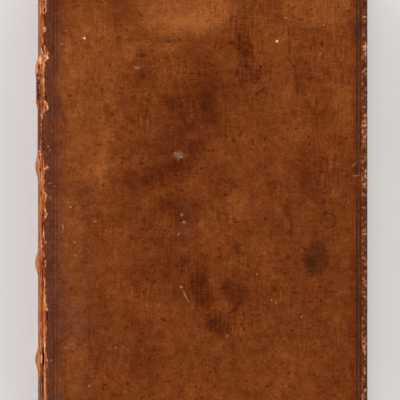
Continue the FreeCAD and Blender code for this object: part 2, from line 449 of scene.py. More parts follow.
def make_skin(name, u_places, spacing, relief, marks):
    """A strip of the skin: its path across, carried along the book and closed by its ends.

    Each point is the path's point, raised by the relief and sunk by its end's depth along the outward
    direction. The rows between the ends are spread evenly from one end's first place to the other's.
    """
    a = np.abs(u_places)
    steps = [[np.interp(a, END_STEPS, ends[:, k, j]) for k in range(ends.shape[1])] for j in (0, 1)]
    end_y, end_depth = np.array(steps[0]), np.array(steps[1])
    between = samples(-1, (1, spacing / cap_half))
    y = np.concatenate([-end_y[:0:-1], between[:, None] * end_y[0], end_y[1:]])
    depth = np.concatenate([end_depth[:0:-1], 0 * between[:, None] * end_y[0], end_depth[1:]])
    u = np.broadcast_to(u_places, y.shape)
    x, z, facing_x, facing_z = skin_path(u, y)
    lift_x, rise = relief(u, x, y)
    x, z = x + lift_x + facing_x * (rise - depth), z + facing_z * (rise - depth)
    points = np.stack([x, y, z], -1)
    return make_piece(name, points, grid(*y.shape), marks(u, y, z), thickness=LEATHER)


# %% [markdown]
# ## Stains
# Two centuries of handling have made the calf cloudy. Where hands and shelves rubbed it, it is lighter and
# more orange, and where damp and grease sat, it is darker and a little purple. These clouds are wide and
# soft, so they are brush strokes stored on the mesh's points, where a material reads them at no cost.
# A painted picture could hold them too, but it would need a file and would stretch round the edges. Fine
# marks come later, in the material.

# %% Clouds on the front cover
# each stroke: column and row of both ends, half width in pixels, and strength. In the first three
# tables a strength above 0 is lighter and below 0 darker, then it says how grimy or how streaked.
RUBBED = [
    (160, 12, 205, 12, 24, 0.62), (185, 26, 205, 24, 12, 0.35), (125, 48, 185, 47, 7, 0.3),
    (300, 8, 340, 8, 15, 0.5), (92, 40, 88, 160, 30, 0.4), (103, 145, 101, 166, 9, 0.25),
    (343, 95, 343, 130, 13, 0.3), (278, 50, 285, 76, 26, 0.25), (64, 46, 65, 92, 11, 0.4),
    (70, 205, 71, 385, 13, 0.36), (108, 205, 112, 290, 12, 0.12), (325, 30, 325, 45, 18, 0.25),
    (240, 203, 240, 212, 8, 0.35), (130, 235, 150, 250, 18, 0.2), (290, 110, 300, 130, 18, 0.15),
    (262, 250, 270, 262, 16, 0.2), (150, 300, 160, 330, 16, 0.15), (270, 375, 300, 385, 20, 0.15),
]
DAMP = [
    (246, 28, 247, 76, 8, -0.4), (206, 96, 180, 150, 26, -0.4), (167, 104, 183, 106, 7, -0.35),
    (207, 96, 208, 112, 9, -0.35), (195, 143, 195, 148, 7, -0.3), (132, 177, 178, 172, 9, -0.4),
    (168, 208, 188, 212, 12, -0.35), (187, 260, 187, 265, 4, -0.3), (110, 111, 110, 117, 4, -0.3),
    (142, 52, 145, 76, 7, -0.3), (297, 62, 298, 92, 6, -0.3), (310, 155, 311, 186, 12, -0.3),
    (287, 206, 289, 222, 4, -0.25), (198, 288, 202, 302, 10, -0.7), (233, 290, 238, 304, 9, -0.65),
    (208, 322, 226, 328, 9, -0.55), (140, 364, 154, 367, 12, -0.25), (110, 335, 135, 375, 24, -0.12),
    (152, 255, 192, 285, 25, -0.35), (185, 190, 187, 225, 14, -0.25), (140, 325, 150, 340, 14, -0.25),
    (54, 2, 55, 48, 8, -0.35), (55, 100, 56, 110, 6, -0.25), (53, 132, 53, 160, 5, -0.25),
    (60, 325, 60, 355, 10, -0.25), (220, 180, 216, 190, 14, -0.25), (245, 44, 248, 56, 6, -0.3),
]
BORDERS = [(53, -60, 53, 470, 5, -0.25), (358, -60, 358, 470, 7, -0.3)]
GRIME = [
    (47.5, -60, 47.5, 470, 5, 0.75), (55, -60, 55, 470, 5, 0.4), (61, -60, 61, 470, 5, 0.22),
    (356, 18, 356, 42, 4, 0.5), (356, 166, 356, 174, 4, 0.5), (184, 205, 186, 232, 6, 0.3),
    (60, 103, 60, 117, 3, 0.5), (60, 300, 110, 350, 16, 0.12), (74, 200, 74, 400, 20, 0.2),
]
STREAKED = [
    (197, 288, 202, 304, 11, 1), (233, 288, 238, 305, 9, 1), (210, 320, 226, 330, 10, 0.8),
    (246, 26, 247, 78, 9, 1), (184, 112, 192, 118, 12, 0.6), (325, 10, 328, 190, 20, 0.45),
    (145, 100, 150, 112, 10, 0.5),
]


def front_tone(x, y):
    """How light the calf is, from -1 dark to 1 light: the strokes with ragged edges, and faint clouds."""
    column, row = column_of(x), row_of(y)
    column = column + 5 * wander(x, y, 5, 3) + 2 * wander(x, y, 1.8, 4)
    row = row + 6 * wander(x, y, 6, 5) + 2 * wander(x, y, 1.8, 6)
    strokes = dabs(column, row, RUBBED + DAMP)
    borders = dabs(column_of(x) + 1.5 * wander(x, y, 4, 7), row, BORDERS)
    return strokes + borders + 0.22 * cloud(x, y, 26, 11)


def plain_tone(x, y):
    """The same kind of clouds where no photograph shows them: random, and darker along the borders."""
    inner = np.minimum(np.minimum(fore_edge - x, cover_half - np.abs(y)), x - joint)
    return 0.5 * cloud(x, y, 30, 23) + 0.25 * cloud(x, y, 9, 29) - 0.3 * (1 - ease(inner, 2, 7))


def front_dusk(x, y):
    """Where grime has greyed the calf: along the joint mostly, from 0 to 1, with a ragged border."""
    column = column_of(x) + 2.4 * wander(x, y, 6, 8) + 1.6 * wander(x, y, 2.2, 10)
    column = column + 0.8 * wander(x, y, 0.9, 12)
    uneven = 0.9 + 0.3 * wander(x, y, 8, 9) + 0.25 * wander(x, y, 2.6, 14)
    return np.clip(dabs(column, row_of(y), GRIME) * uneven, 0, 1)


def plain_dusk(x, y):
    """The same grime along a joint that no photograph shows. It fades from 2 to 7 mm, raggedly."""
    reach = x - joint + 0.9 * wander(x, y, 6, 15) + 0.6 * wander(x, y, 2.2, 16)
    return np.clip(0.75 * (1 - ease(reach, 2.0, 7.0)) * (0.8 + 0.4 * wander(x, y, 8, 13)), 0, 1)


def front_streaks(x, y):
    """Where the stains break into fine streaks along the book."""
    return np.clip(dabs(column_of(x), row_of(y), STREAKED), 0, 1)


def plain_streaks(x, y):
    """The same streaks at random: where a wide cloud is at its lightest."""
    return ease(cloud(x, y, 22, 17), 0.2, 0.6)


tried = front_tone(*np.meshgrid(np.linspace(-55, 60, 50), np.linspace(-70, 80, 50)))
print("front tone from", round(float(tried.min()), 2), "to", round(float(tried.max()), 2))

# %% [markdown]
# ## Covers
# A cover is a board with calf drawn over it. The calf rolls over three edges and is turned in on the
# inside, with mitred corners. A warm iron ruled two blind lines round the outside, which left shallow
# dark grooves with a small shine between them; near the joint that shine is a painted highlight, a lighter
# colour on the lines' lips. A flat slab with a line picture would have no light in the grooves, so they
# are cut into the mesh: a fine ring of points carries them, and a plain field fills it.

# %% Blind lines
LINE_INSETS = ((2.75, 4.15), (3.95, 5.35))  # each line's distance from the edges, and from the joint
LINE_HALF, LINE_DEPTH, LINE_LIP = 0.3, 0.2, 0.05
# On the lips below, near the joint, a lighter colour is painted as a highlight.
RIDGES = (4.72, 5.85)  # from the joint, where the rubbed lips of its two lines shine
# strokes like those of the clouds, where the lines are worn away
WORN_LINES = [
    (360, 156, 361, 164, 4, 0.8), (359, 176, 361, 190, 4, 0.7), (360, 60, 361, 110, 2.5, 0.5),
    (360, 262, 361, 300, 2.5, 0.5), (56, 196, 57, 222, 3, 0.6), (56, 120, 57, 160, 3, 0.4),
    (56, 262, 57, 290, 3, 0.5),
]


def blind_lines(x, y):
    """Depth and darkness of the lines: a groove where the distance to the ruled rectangle is near 0.

    That distance is the smallest of those to its four sides. A small lip stands on each side of a groove.
    """
    edges = np.minimum(fore_edge - x, cover_half - np.abs(y))
    depth, dark = 0.0, 0.0
    for from_edge, from_joint in LINE_INSETS:
        away = np.abs(np.minimum(edges - from_edge, x - joint - from_joint))
        groove = np.exp(-((away / LINE_HALF) ** 2))
        depth = depth - LINE_DEPTH * groove + LINE_LIP * np.exp(-(((away - 0.5) / 0.2) ** 2))
        dark = dark + groove
    kept = 1 - np.clip(dabs(column_of(x), row_of(y), WORN_LINES), 0, 0.85)
    kept = kept * (0.8 + 0.2 * wander(x, y, 2.5, 37))
    by_joint = 1 - ease(x - joint, 6.5, 7.5)
    # shine is a painted highlight on the lips next to the joint, and rubbed makes it uneven along them
    ridges = sum(np.exp(-(((x - joint - place) / 0.22) ** 2)) for place in RIDGES)
    rubbed = np.clip(0.45 + 0.9 * wander(x, y, 5, 38), 0, 1) * ease(cover_half - np.abs(y), 3.5, 4.5)
    shine = ridges * by_joint * rubbed
    return depth * kept * (1 - 0.5 * by_joint), dark * kept * (1 - 0.75 * by_joint), shine


def board_swell(x, y):
    """Slow unevenness of a hand-beaten board, in millimetres."""
    return 0.07 * cloud(x, y, 30, 41)


# %% Cover skin
# strokes like those of the clouds, where the fore-edge is chafed
CHAFED = [
    (364, 54, 364, 74, 12, 0.25), (363, 118, 363, 178, 9, 0.3), (365, 236, 365, 258, 8, 0.2),
    (364, 345, 364, 347, 6, 0.2),
]
COVER_START = joint + 3.0  # from here on the cover's own piece carries the skin
FIELD_INSET, TURN_IN = 8.0, 14.0
CORNER_ROUND = 2.5


def cover_ring(inset, along_x, along_y):
    """The cover's outline, moved in by an inset, from the joint's head end round to its tail end.

    It has a straight head, a quarter circle, a straight fore-edge, a quarter circle and a straight tail.
    Past the corner's radius the quarter circle shrinks to the mitre's point.
    """
    round_left = np.maximum(CORNER_ROUND - inset, 0)
    far = fore_edge - inset - round_left
    high = cover_half - inset - round_left
    arc = np.linspace(math.pi / 2, 0, 7)[1:-1, None]
    head_x = COVER_START + along_x[:, None] * (far - COVER_START)
    head_y = np.broadcast_to(cover_half - inset, head_x.shape)
    side_y = along_y[::-1, None] * high
    x = [head_x, far + round_left * np.cos(arc), np.broadcast_to(fore_edge - inset, side_y.shape)]
    y = [head_y, high + round_left * np.sin(arc), side_y]
    x += [x[1][::-1], head_x[::-1]]
    y += [-y[1][::-1], -head_y[::-1]]
    return np.concatenate(x), np.concatenate(y)


def bumped_corner(x, y):
    """How near the two outer corners are, where a book is bumped most: 1 at the tip, 0 past 9 mm."""
    return 1 - ease(np.hypot(fore_edge - x, cover_half - np.abs(y)), 2, 9)


def chafed_front(x, y):
    """How much the front's edges are chafed: most near the head, less below the middle of the fore-edge."""
    known = 0.3 + dabs(column_of(x), row_of(y), CHAFED) + 0.25 * wander(x, y, 7, 43)
    return known + 0.6 * bumped_corner(x, y)


def chafed_rear(x, y):
    """The rear's edges, chafed at random all round and most at the corners."""
    return 0.4 + 0.35 * wander(x, y, 12, 45) + 0.6 * bumped_corner(x, y)


def make_cover(name, tone, dusk, streaks, chafe, rear=False):
    """A cover's skin: the turned-in edge's profile carried round the outline, and a field inside it."""
    far, high = fore_edge - FIELD_INSET, cover_half - FIELD_INSET
    field_x = samples(COVER_START, (joint + 3.6, 0.3), (joint + 6.1, 0.12), (far, 1.25))
    field_y = samples(-high, (high, 1.25))
    inside = [(inset, COVER_DEPTH) for inset in (TURN_IN, 11.0, 8.0, 4.0, 1.5)]
    face = [(inset, 0) for inset in samples(EDGE_ROLL, (2.1, 0.4), (4.6, 0.12), (FIELD_INSET, 0.8))[1:]]
    profile = np.array([*inside, *cover_edge[::-1], *face])
    inset, depth = profile[:, 0], profile[:, 1]
    along_x = (field_x - COVER_START) / (far - COVER_START)
    x, y = cover_ring(inset, along_x, field_y / high)
    depth = np.broadcast_to(depth, x.shape)
    inset = np.broadcast_to(inset, x.shape)
    ring_cells = grid(*x.shape)
    flat_x, flat_y = (part.ravel() for part in np.meshgrid(field_x, field_y))
    field_cells = grid(len(field_y), len(field_x), start=x.size)
    x, y = np.append(x, flat_x), np.append(y, flat_y)
    depth = np.append(depth, 0 * flat_x)
    inset = np.append(inset, 0 * flat_x + FIELD_INSET)
    sunk, dark, shine = blind_lines(x, y)
    outside = 1 - ease(depth, 0.0, 0.3)
    off_mitre = (fore_edge - x) - (cover_half - np.abs(y))
    mitre = np.exp(-((off_mitre / 0.35) ** 2)) * (depth > COVER_DEPTH - 0.01)
    z = top - depth + (sunk + board_swell(x, y)) * outside + 0.2 * mitre
    marks = {
        "tone": tone(x, y),
        "dusk": dusk(x, y),
        "streaks": streaks(x, y),
        "line": dark * outside + 0.8 * mitre,
        "shine": shine * outside,
        "edge": np.where(depth > 0.02, 1.0, 1 - ease(inset, 1.2, 2.7)) * (1 - 0.7 * ease(depth, 3.5, 3.7)),
        "rim": ease(depth, 0.05, 0.4) * (1 - ease(depth, 3.3, 3.6)),
        "chafe": chafe(x, y),
    }
    z = top - z if rear else z
    cells = np.concatenate([ring_cells, field_cells])
    return make_piece(name, np.stack([x, y, z], -1), cells, marks, thickness=LEATHER, turned=rear)


front_skin = make_cover("front_cover_leather", front_tone, front_dusk, front_streaks, chafed_front)
rear_skin = make_cover("rear_cover_leather", plain_tone, plain_dusk, plain_streaks, chafed_rear, rear=True)
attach(front_skin, "front_cover")
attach(rear_skin, "rear_cover")
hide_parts("front_leather")
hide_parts("rear_leather")
print("blind lines lie", LINE_INSETS, "mm in from the edges and from the joint")

# %% [markdown]
# ## The front joint
# Every opening flexed the calf here, until its polished grain layer cracked off and the orange flesh of
# the skin shows in a ragged strip, with cracks and pale curled edges. The cracks and the gaps under lifted
# edges are painted dark as painted shade, and the curled edges are painted paler where they stand up,
# partly as a painted highlight. A picture of that on a smooth surface would look painted. So the strip is
# a fine grid of points, and the same brush strokes that say how pale or dark it is also raise and sink it.

# %% Wear along the front joint, by the photograph's columns and rows
# FLESH_BORDER: at a row, the column up to which the flesh shows
# LOOSE_EDGE: at a row, how many pixels the skin stands off the shoulder
# PALE, DARK: strokes as on the cover. PALE is for curled fibres, partly a painted highlight where they
# stand up, and DARK is painted shade in cracks and crevices
# CRACK: at a row, the column of the long open crack
# GAPS: first and last row, lowest and highest millimetre, and depth of a lifted edge's shadow
# FLESH_LOW: at a row, the millimetre on the spine's side down to which the flesh reaches
FLESH_TONE = 0.36  # how pale the flesh is where nothing else says so
PLAIN_BORDER, PLAIN_FISSURE = 43.4, 42.2  # columns of the rear joint's flesh border and of its crack
FLESH_BORDER = [
    (-60, 45), (-30, 46.5), (0, 46.5), (13, 46.5), (16, 44.8), (26, 44.8), (30, 46.3), (35, 43), (45, 44.3),
    (50, 48), (58, 48.4), (62, 45), (76, 44.5), (100, 44.6), (103, 47.8), (110, 48), (113, 43.4), (120, 41.5),
    (135, 41.5), (145, 42.2), (150, 43.2), (160, 43.8), (168, 48.6), (174, 44.2), (192, 44.2), (196, 48),
    (200, 46), (208, 45), (214, 47), (218, 45.5), (222, 43.4), (235, 44.2), (242, 46), (247, 43.4), (255, 44),
    (262, 47), (266, 46), (272, 44), (280, 45), (300, 45.6), (309, 48), (314, 46.8), (320, 46), (327, 47),
    (335, 45.6), (350, 45), (358, 48), (366, 47.6), (372, 46), (385, 47), (400, 47), (420, 45), (445, 46.5),
    (480, 45),
]
LOOSE_EDGE = [
    (-60, 0), (35, -0.4), (40, -0.8), (52, -0.8), (57, 0), (70, 0.2), (77, 1.6), (82, 2.5), (103, 2.4),
    (108, 1.0), (150, 1.1), (158, 0.9), (163, -0.9), (172, -1.0), (182, 0.1), (190, 0), (220, -0.5),
    (250, -0.1), (256, 0.2), (264, -0.5), (272, 0.6), (282, -0.2), (340, -0.1), (350, 0.3), (356, -1.2),
    (364, -0.9), (372, 0), (400, -0.2), (480, 0),
]
PALE = [
    (40.2, 2, 40.2, 12, 1.3, 0.18), (45.2, 0, 45.4, 12, 1.1, 0.45), (45, 26.5, 45, 27.5, 1.3, 0.5),
    (46.2, 30, 45, 33, 0.9, 0.4), (41, 49, 48, 58, 1.5, 0.45), (48, 52, 51, 56, 0.9, 0.35),
    (40.3, 58.5, 40.3, 63, 1.4, 0.5), (43.5, 63, 42.5, 74, 1.2, 0.2), (39.6, 78, 39.6, 102, 0.8, 0.4),
    (37.5, 250, 37.5, 278, 1.8, 0.22), (37, 348, 37, 374, 1.8, 0.22), (37.8, 158, 37.8, 178, 1.5, 0.25),
    (37, 60, 37, 72, 1.6, 0.22), (41.8, 78, 41.8, 102, 1.6, 0.2), (45, 102.5, 48.4, 108, 1.0, 0.5),
    (48, 108.5, 53, 110.5, 0.7, 0.6), (41, 115, 41, 115.3, 0.9, 0.4), (44.5, 115, 44.5, 115.3, 0.8, 0.5),
    (42.5, 118.5, 42.5, 118.8, 0.9, 0.4), (44, 122.7, 44, 122.9, 0.7, 0.45),
    (40.7, 124.5, 40.7, 124.8, 0.7, 0.45), (43.2, 136.6, 43.2, 136.9, 0.7, 0.45),
    (41, 142.5, 41, 142.9, 0.7, 0.45), (40.5, 147, 40.5, 148, 0.9, 0.4), (40.5, 151, 40.5, 151.6, 0.8, 0.4),
    (41, 154, 41, 155, 0.9, 0.35), (44.2, 169, 49, 167.8, 0.9, 0.5), (40, 166, 41.5, 190, 1.6, 0.12),
    (47, 183, 51, 183.4, 0.7, 0.55), (45.5, 192, 51, 198, 2.2, 0.25), (44.5, 208, 47, 214, 0.9, 0.5),
    (47, 214, 45.5, 218, 0.8, 0.5), (40.6, 197, 40.6, 219, 1.2, 0.2), (43.5, 235, 43.5, 235.6, 1.0, 0.4),
    (46, 241.5, 46, 242.5, 1.0, 0.5), (41, 222, 41, 250, 1.3, 0.12), (47.3, 264, 47.3, 264.6, 0.9, 0.5),
    (48, 264.8, 54, 266.5, 0.5, 0.5), (40.7, 268, 40.9, 350, 0.9, 0.14), (44.3, 280, 44.4, 350, 0.9, 0.14),
    (46, 308.6, 48.3, 309.2, 0.8, 0.5), (47, 325, 47, 330, 0.9, 0.35), (41.6, 356, 41.3, 363, 1.0, 0.5),
    (47, 359.6, 47, 360.6, 0.9, 0.5), (51, 360, 52, 360, 0.7, 0.4), (47.5, 365.6, 47.5, 366.4, 0.8, 0.4),
    (45.4, 366, 45.7, 402, 1.2, 0.15), (40.5, 366, 40.5, 380, 1.3, 0.15), (45, 420, 45.5, 470, 1.1, 0.35),
    (44, -50, 45, -10, 1.0, 0.35),
]
DARK = [
    (44.5, 2, 44.5, 3, 0.8, 0.9), (44.5, 9, 44.5, 10, 0.8, 0.9), (46.5, 11.6, 46.5, 12.4, 0.8, 0.8),
    (43.6, 14, 44.6, 26, 1.0, 0.6), (43.8, 33, 44.2, 45, 1.1, 0.4), (41, 45, 44.8, 54, 0.8, 0.8),
    (38.4, 66, 38.4, 69, 0.7, 0.9), (37.6, 74, 37.5, 77, 0.7, 0.9), (46, 97, 46, 98, 0.9, 0.9),
    (41.8, 121, 41.8, 144, 1.8, 0.45), (44.6, 143, 44.4, 151, 1.0, 0.5), (39.6, 168, 39.6, 178, 0.7, 0.8),
    (43.3, 178, 43.5, 190, 0.6, 0.4), (42.6, 197, 42.8, 219, 0.8, 0.35), (42.8, 223, 42.9, 231, 0.9, 0.45),
    (45, 257.6, 45, 258.6, 0.9, 0.9), (38.0, 272, 38.0, 280, 0.7, 0.9), (42.4, 270, 42.3, 350, 0.7, 0.3),
    (47, 311.5, 46.9, 319, 0.7, 0.8), (40.4, 378, 40.0, 404, 1.6, 0.75), (43.5, 234, 43.6, 250, 0.5, 0.3),
]
CRACK = [
    (346, 43.2), (350, 43.0), (357, 43.4), (361, 43.5), (364.5, 42.9), (370, 42.5), (378, 42.2), (385, 41.6),
    (392, 42.3), (400, 41.8), (418, 42.4), (440, 42.0), (452, 42.8),
]
CRACK_HALF = 0.95  # pixels
CRACK_ROWS = (344, 349, 452, 458)  # where it opens, is open, starts to close and is closed
GAPS = [(77, 103, 30.8, 35.7, 1.0), (107, 151, 32.0, 35.7, 0.7)]
FLESH_LOW = [
    (-60, 31), (0, 30), (60, 30), (68, 31), (77, 33.8), (104, 34), (150, 33.8), (160, 31.5), (168, 30),
    (345, 30), (372, 31), (385, 31.5), (480, 31),
]


print(len(PALE), "curled fibres and", len(DARK) + len(GAPS), "dark places along the front joint")


def along_rows(row, path):
    """A path's column at each row."""
    rows, columns = np.array(path, float).T
    return np.interp(row, rows, columns)


def front_wear(x, y, z):
    """Where the flesh shows, how pale it is, and where it is dark, each from 0 to 1."""
    column, row = column_of(x), row_of(y)
    along = x - (top - z)  # roughly the distance along the skin, on the flat and round the shoulder
    ragged = 0.9 * wander(along, y, 0.9, 51) + 0.6 * wander(along, y, 0.4, 52)
    ragged = ragged + 0.5 * wander(along, y, 2.6, 53)
    border = along_rows(row, FLESH_BORDER)
    flesh = ease(border + 0.8 * ragged - column, -0.35, 0.45)
    lowest = along_rows(row, FLESH_LOW) - 3 * band_at(y) + 1.3 * ragged
    flesh = flesh * ease(z, lowest, lowest + 1.0)
    seen = ease(z, 29.0, 33.0)
    bent_c = column + 0.45 * wander(along, y, 0.8, 54)
    bent_r = row + 1.2 * wander(along, y, 1.1, 55)
    layers = wander(along * 14, y, 6.5, 57) + 0.6 * wander(along * 10, y, 3.0, 60)
    # pale: the curled fibres' own pale flesh, partly a painted highlight where they stand up
    pale = 0.8 * dabs(bent_c, bent_r, PALE) * seen + 0.08 * cloud(along, y, 2.2, 56) + 0.24 * layers
    fringe = np.exp(-(((border - 0.5 + 0.6 * ragged - column) / 0.45) ** 2))
    pale = pale + 0.3 * fringe * ease(wander(x, y, 1.5, 58), -0.2, 0.5)
    # dark: painted shade in the cracks, in the gaps under lifted edges and in the long open crack
    dark = np.clip(dabs(bent_c, bent_r, DARK), 0, 1) * seen
    torn_row = row + 3 * ragged
    for first, last, low, high, strength in GAPS:
        open_here = ease(torn_row, first - 2, first + 2) * (1 - ease(torn_row, last - 2, last + 2))
        under = ease(z + 0.5 * ragged, low, low + 0.5) * (1 - ease(z + 0.2 * ragged, high - 0.2, high + 0.2))
        dark = np.maximum(dark, strength * open_here * under)
    crack = along_rows(row, CRACK) + 0.25 * wander(x, y, 0.9, 59)
    reach = ease(row, *CRACK_ROWS[:2]) * (1 - ease(row, *CRACK_ROWS[2:]))
    open_crack = 1 - ease(np.abs(column - crack), 0.5 * CRACK_HALF, 1.2 * CRACK_HALF)
    dark = np.maximum(dark, open_crack * reach)
    return flesh, np.clip(FLESH_TONE + pale, 0, 1), dark


def plain_wear(x, y, z):
    """The same wear at random, milder, for the rear joint: its ragged border wanders along the book."""
    column = column_of(x)
    height = np.minimum(z, top - z)
    along = x - height
    ragged = 0.9 * wander(along, y, 0.9, 61) + 0.6 * wander(along, y, 0.4, 62)
    border = PLAIN_BORDER + 2.2 * wander(x * 0, y, 13, 63) + 1.5 * wander(x * 0, y, 4, 64)
    flesh = ease(border + 0.8 * ragged - column, -0.35, 0.45)
    flesh = flesh * (1 - ease(height, 3.0 + 1.6 * ragged, 4.4 + 1.6 * ragged))
    pale = FLESH_TONE + 0.2 * cloud(along, y, 3.5, 66) + 0.24 * wander(along * 14, y, 6.5, 67)
    # the fissure's dark is painted shade in a crack
    fissure = PLAIN_FISSURE + 0.8 * wander(x * 0, y, 6, 68)
    dark = (1 - ease(np.abs(column - fissure), 0.3, 0.9)) * ease(wander(x * 0, y, 18, 69), -0.1, 0.4)
    return flesh, np.clip(pale, 0, 1), dark


# %% Joint skins
FLESH_DEPTH, PALE_RISE, DARK_DEPTH, GRAIN_LIP = 0.12, 0.45, 0.55, 0.07
FAST_EDGE = [(0, 0)]  # the rear joint's skin lies fast
JOINT_FROM = 0.25  # where on the skin's path the joint's pieces start
BOARD_FROM, BOARD_TO = 2.6, 3.6  # where on it the board's own unevenness takes over
SEAM_FROM, SEAM_TO = 5.2, 5.9  # where on it the relief fades, before the cover's own piece
JOINT_PLACES = samples(JOINT_FROM, (1, 0.035), (2, 0.07), (3, 0.34), (6, 0.14))


def joint_relief(wear, loose_edge):
    """Turns wear into height: flesh lies lower than the grain, pale curls stand up and dark cracks sink.

    The loose edge is how far the skin stands off the shoulder, in pixels, at each row.
    """

    def relief(u, x, y):
        a = np.abs(u)
        flesh, pale, dark = wear(x, y, skin_path(u, y)[1])
        rise = -FLESH_DEPTH * flesh + PALE_RISE * (pale - FLESH_TONE) * flesh - DARK_DEPTH * dark
        rise = rise + GRAIN_LIP * np.exp(-(((flesh - 0.25) / 0.2) ** 2))
        swell = board_swell(x, y)
        rise = rise + swell * ease(a, BOARD_FROM, BOARD_TO)
        rise = rise + 0.05 * cloud(x, y, 6, 71) * (1 - ease(a, BOARD_FROM, BOARD_TO))
        inner = 1 - ease(np.abs(y), cap_half - 2.0, cap_half - 0.5)
        kept = ease(a, JOINT_FROM, JOINT_FROM + 0.15) * (1 - ease(a, SEAM_FROM, SEAM_TO))
        rise = np.where(a > SEAM_FROM, swell + (rise - swell) * kept, rise * kept)
        out = along_rows(row_of(y), loose_edge) * PIXEL * inner
        out = out * ease(a, JOINT_FROM, 0.72) * (1 - ease(a, 1.3, 2.0))
        return -out, rise * np.where(a < BOARD_FROM, inner, 1)

    return relief


def back_wear(y, z):
    """The back's own wear: bands are rubbed, with a little flesh on top, and the skin is darker along their
    feet.
    """
    band = band_at(y)
    foot = sum(np.exp(-(((np.abs(y - place) - BAND_FOOT + 0.8) / 1.0) ** 2)) for place in band_places)
    tone = 0.6 * band - 0.6 * foot - 0.1 + 0.4 * cloud(y, z, 16, 75) + 0.2 * wander(y, z, 3, 76)
    flesh = ease(band + 0.35 * cloud(y, z, 4, 77) + 0.25 * wander(y, z, 1.1, 78), 0.9, 1.12)
    return tone, flesh, 0.35 + 0.2 * wander(y, z, 2, 79)


def joint_marks(wear, tone, dusk):
    """The joint's wear, rubbed lighter below the shoulder, which passes into the back's own wear."""

    def marks(u, y, z):
        flat_x, flat_z, _, _ = skin_path(u, y)
        flesh, pale, dark = wear(flat_x, y, flat_z)
        sunk = np.minimum(flat_z, top - flat_z)
        back = ease(sunk, 5, 11)
        back_tone, back_flesh, back_pale = back_wear(y, flat_z)
        rubbed = 0.7 * (1 - ease(np.abs(sunk - 5.5), 1, 5))
        return {
            "tone": tone(flat_x, y) * (1 - back) + back_tone * back + rubbed,
            "dusk": dusk(flat_x, y) * (1 - back),
            "flesh": np.maximum(flesh, back_flesh * back),
            "pale": pale * (1 - back) + back_pale * back,
            "dark": dark,
        }

    return marks


front_joint_skin = make_skin(
    "front_joint_leather", JOINT_PLACES, 0.3,
    joint_relief(front_wear, LOOSE_EDGE), joint_marks(front_wear, front_tone, front_dusk),
)
rear_joint_skin = make_skin(
    "rear_joint_leather", -JOINT_PLACES[::-1], 0.3,
    joint_relief(plain_wear, FAST_EDGE), joint_marks(plain_wear, plain_tone, plain_dusk),
)
for skin, cover, height in ((front_joint_skin, "front_cover", top), (rear_joint_skin, "rear_cover", 0.0)):
    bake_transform(skin)

# %% [markdown]
# ## The spine
# The rest of the skin lies round the back, moulded over the four cords. Its bands are rubbed lighter by
# shelves, and its caps fold over the endbands. A bent plate with four added bars would show seams that a
# moulded skin hasn't, so it is one more strip of the same path, between the two joints.

# %% Spine skin
def spine_relief(u, x, y):
    """Slow and fine unevenness of the skin on the back, which fades out where the joint's pieces start."""
    near_seam = 1 - ease(np.abs(u), JOINT_FROM - 0.1, JOINT_FROM)
    return 0 * x, (0.05 * cloud(y, 15 * u, 6, 73) + 0.03 * wander(y, 15 * u, 1.4, 74)) * near_seam


def spine_marks(u, y, z):
    """The back's own wear, as marks for the material."""
    tone, flesh, pale = back_wear(y, z)
    return {"tone": tone, "flesh": flesh, "pale": pale, "dark": 0 * tone}


spine_places = samples(-JOINT_FROM, (JOINT_FROM, 0.03))
spine_skin = make_skin("spine_leather_skin", spine_places, 0.5, spine_relief, spine_marks)
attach(spine_skin, "text_block")
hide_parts("spine_leather")

# %% [markdown]
# ## Endpapers
# Each endpaper is one folded sheet. Half of it is the flyleaf, which lies on the leaves, and half is
# pasted down inside the cover. Where the calf is turned in under the paste-down, its edge shows as a low
# step, and so do the cords' frayed ends. It is made as two pieces that meet at the fold: the flyleaf rides
# on the leaves, and the pasted one runs round the fold and down the board's back.

# %% Endpaper sheets
PAPER = 0.1
WALL_GAP = 0.09  # from the joint line to the paper on each side of the fold
FOLD_HEIGHT = top - 0.85
SHEET_ROUND = 0.3
SLIP_HALF = 3.2  # half width of a frayed cord end under the paper


def paper_path():
    """Across the sheet, in x and z: flyleaf, up the shoulder, the fold, down the board's back, paste-down."""
    fly_z = leaf_level + 0.1
    paste_z = paste_level + 0.1
    turn = np.linspace(0, math.pi / 2, 5)[1:-1]
    wall_x, back_x = joint - WALL_GAP, joint + WALL_GAP
    fly = samples(fly_edge, (joint + 8, 3.0), (wall_x + SHEET_ROUND, 0.9))
    lower = np.stack([wall_x + SHEET_ROUND * (1 - np.sin(turn)), fly_z + SHEET_ROUND * (1 - np.cos(turn))], 1)
    wall = samples(fly_z + SHEET_ROUND, (FOLD_HEIGHT, 0.6))
    over = np.linspace(math.pi, 0, 6)[1:-1]
    fold = np.stack([joint + WALL_GAP * np.cos(over), FOLD_HEIGHT + WALL_GAP * np.sin(over)], 1)
    far = paste_edge - 0.05
    paste = samples(back_x + 0.15, (joint + 8, 0.9), (far - 16, 3.0), (far, 0.8))
    path = [(x, fly_z) for x in fly] + [tuple(p) for p in lower] + [(wall_x, z) for z in wall]
    path += [tuple(p) for p in fold] + [(back_x, z) for z in wall[::-1][:-1]]
    path += [(back_x + 0.04, paste_z + 0.04)] + [(x, paste_z) for x in paste]
    return np.array(path), len(fly) + len(lower) + len(wall) - 1, len(path) - len(paste)


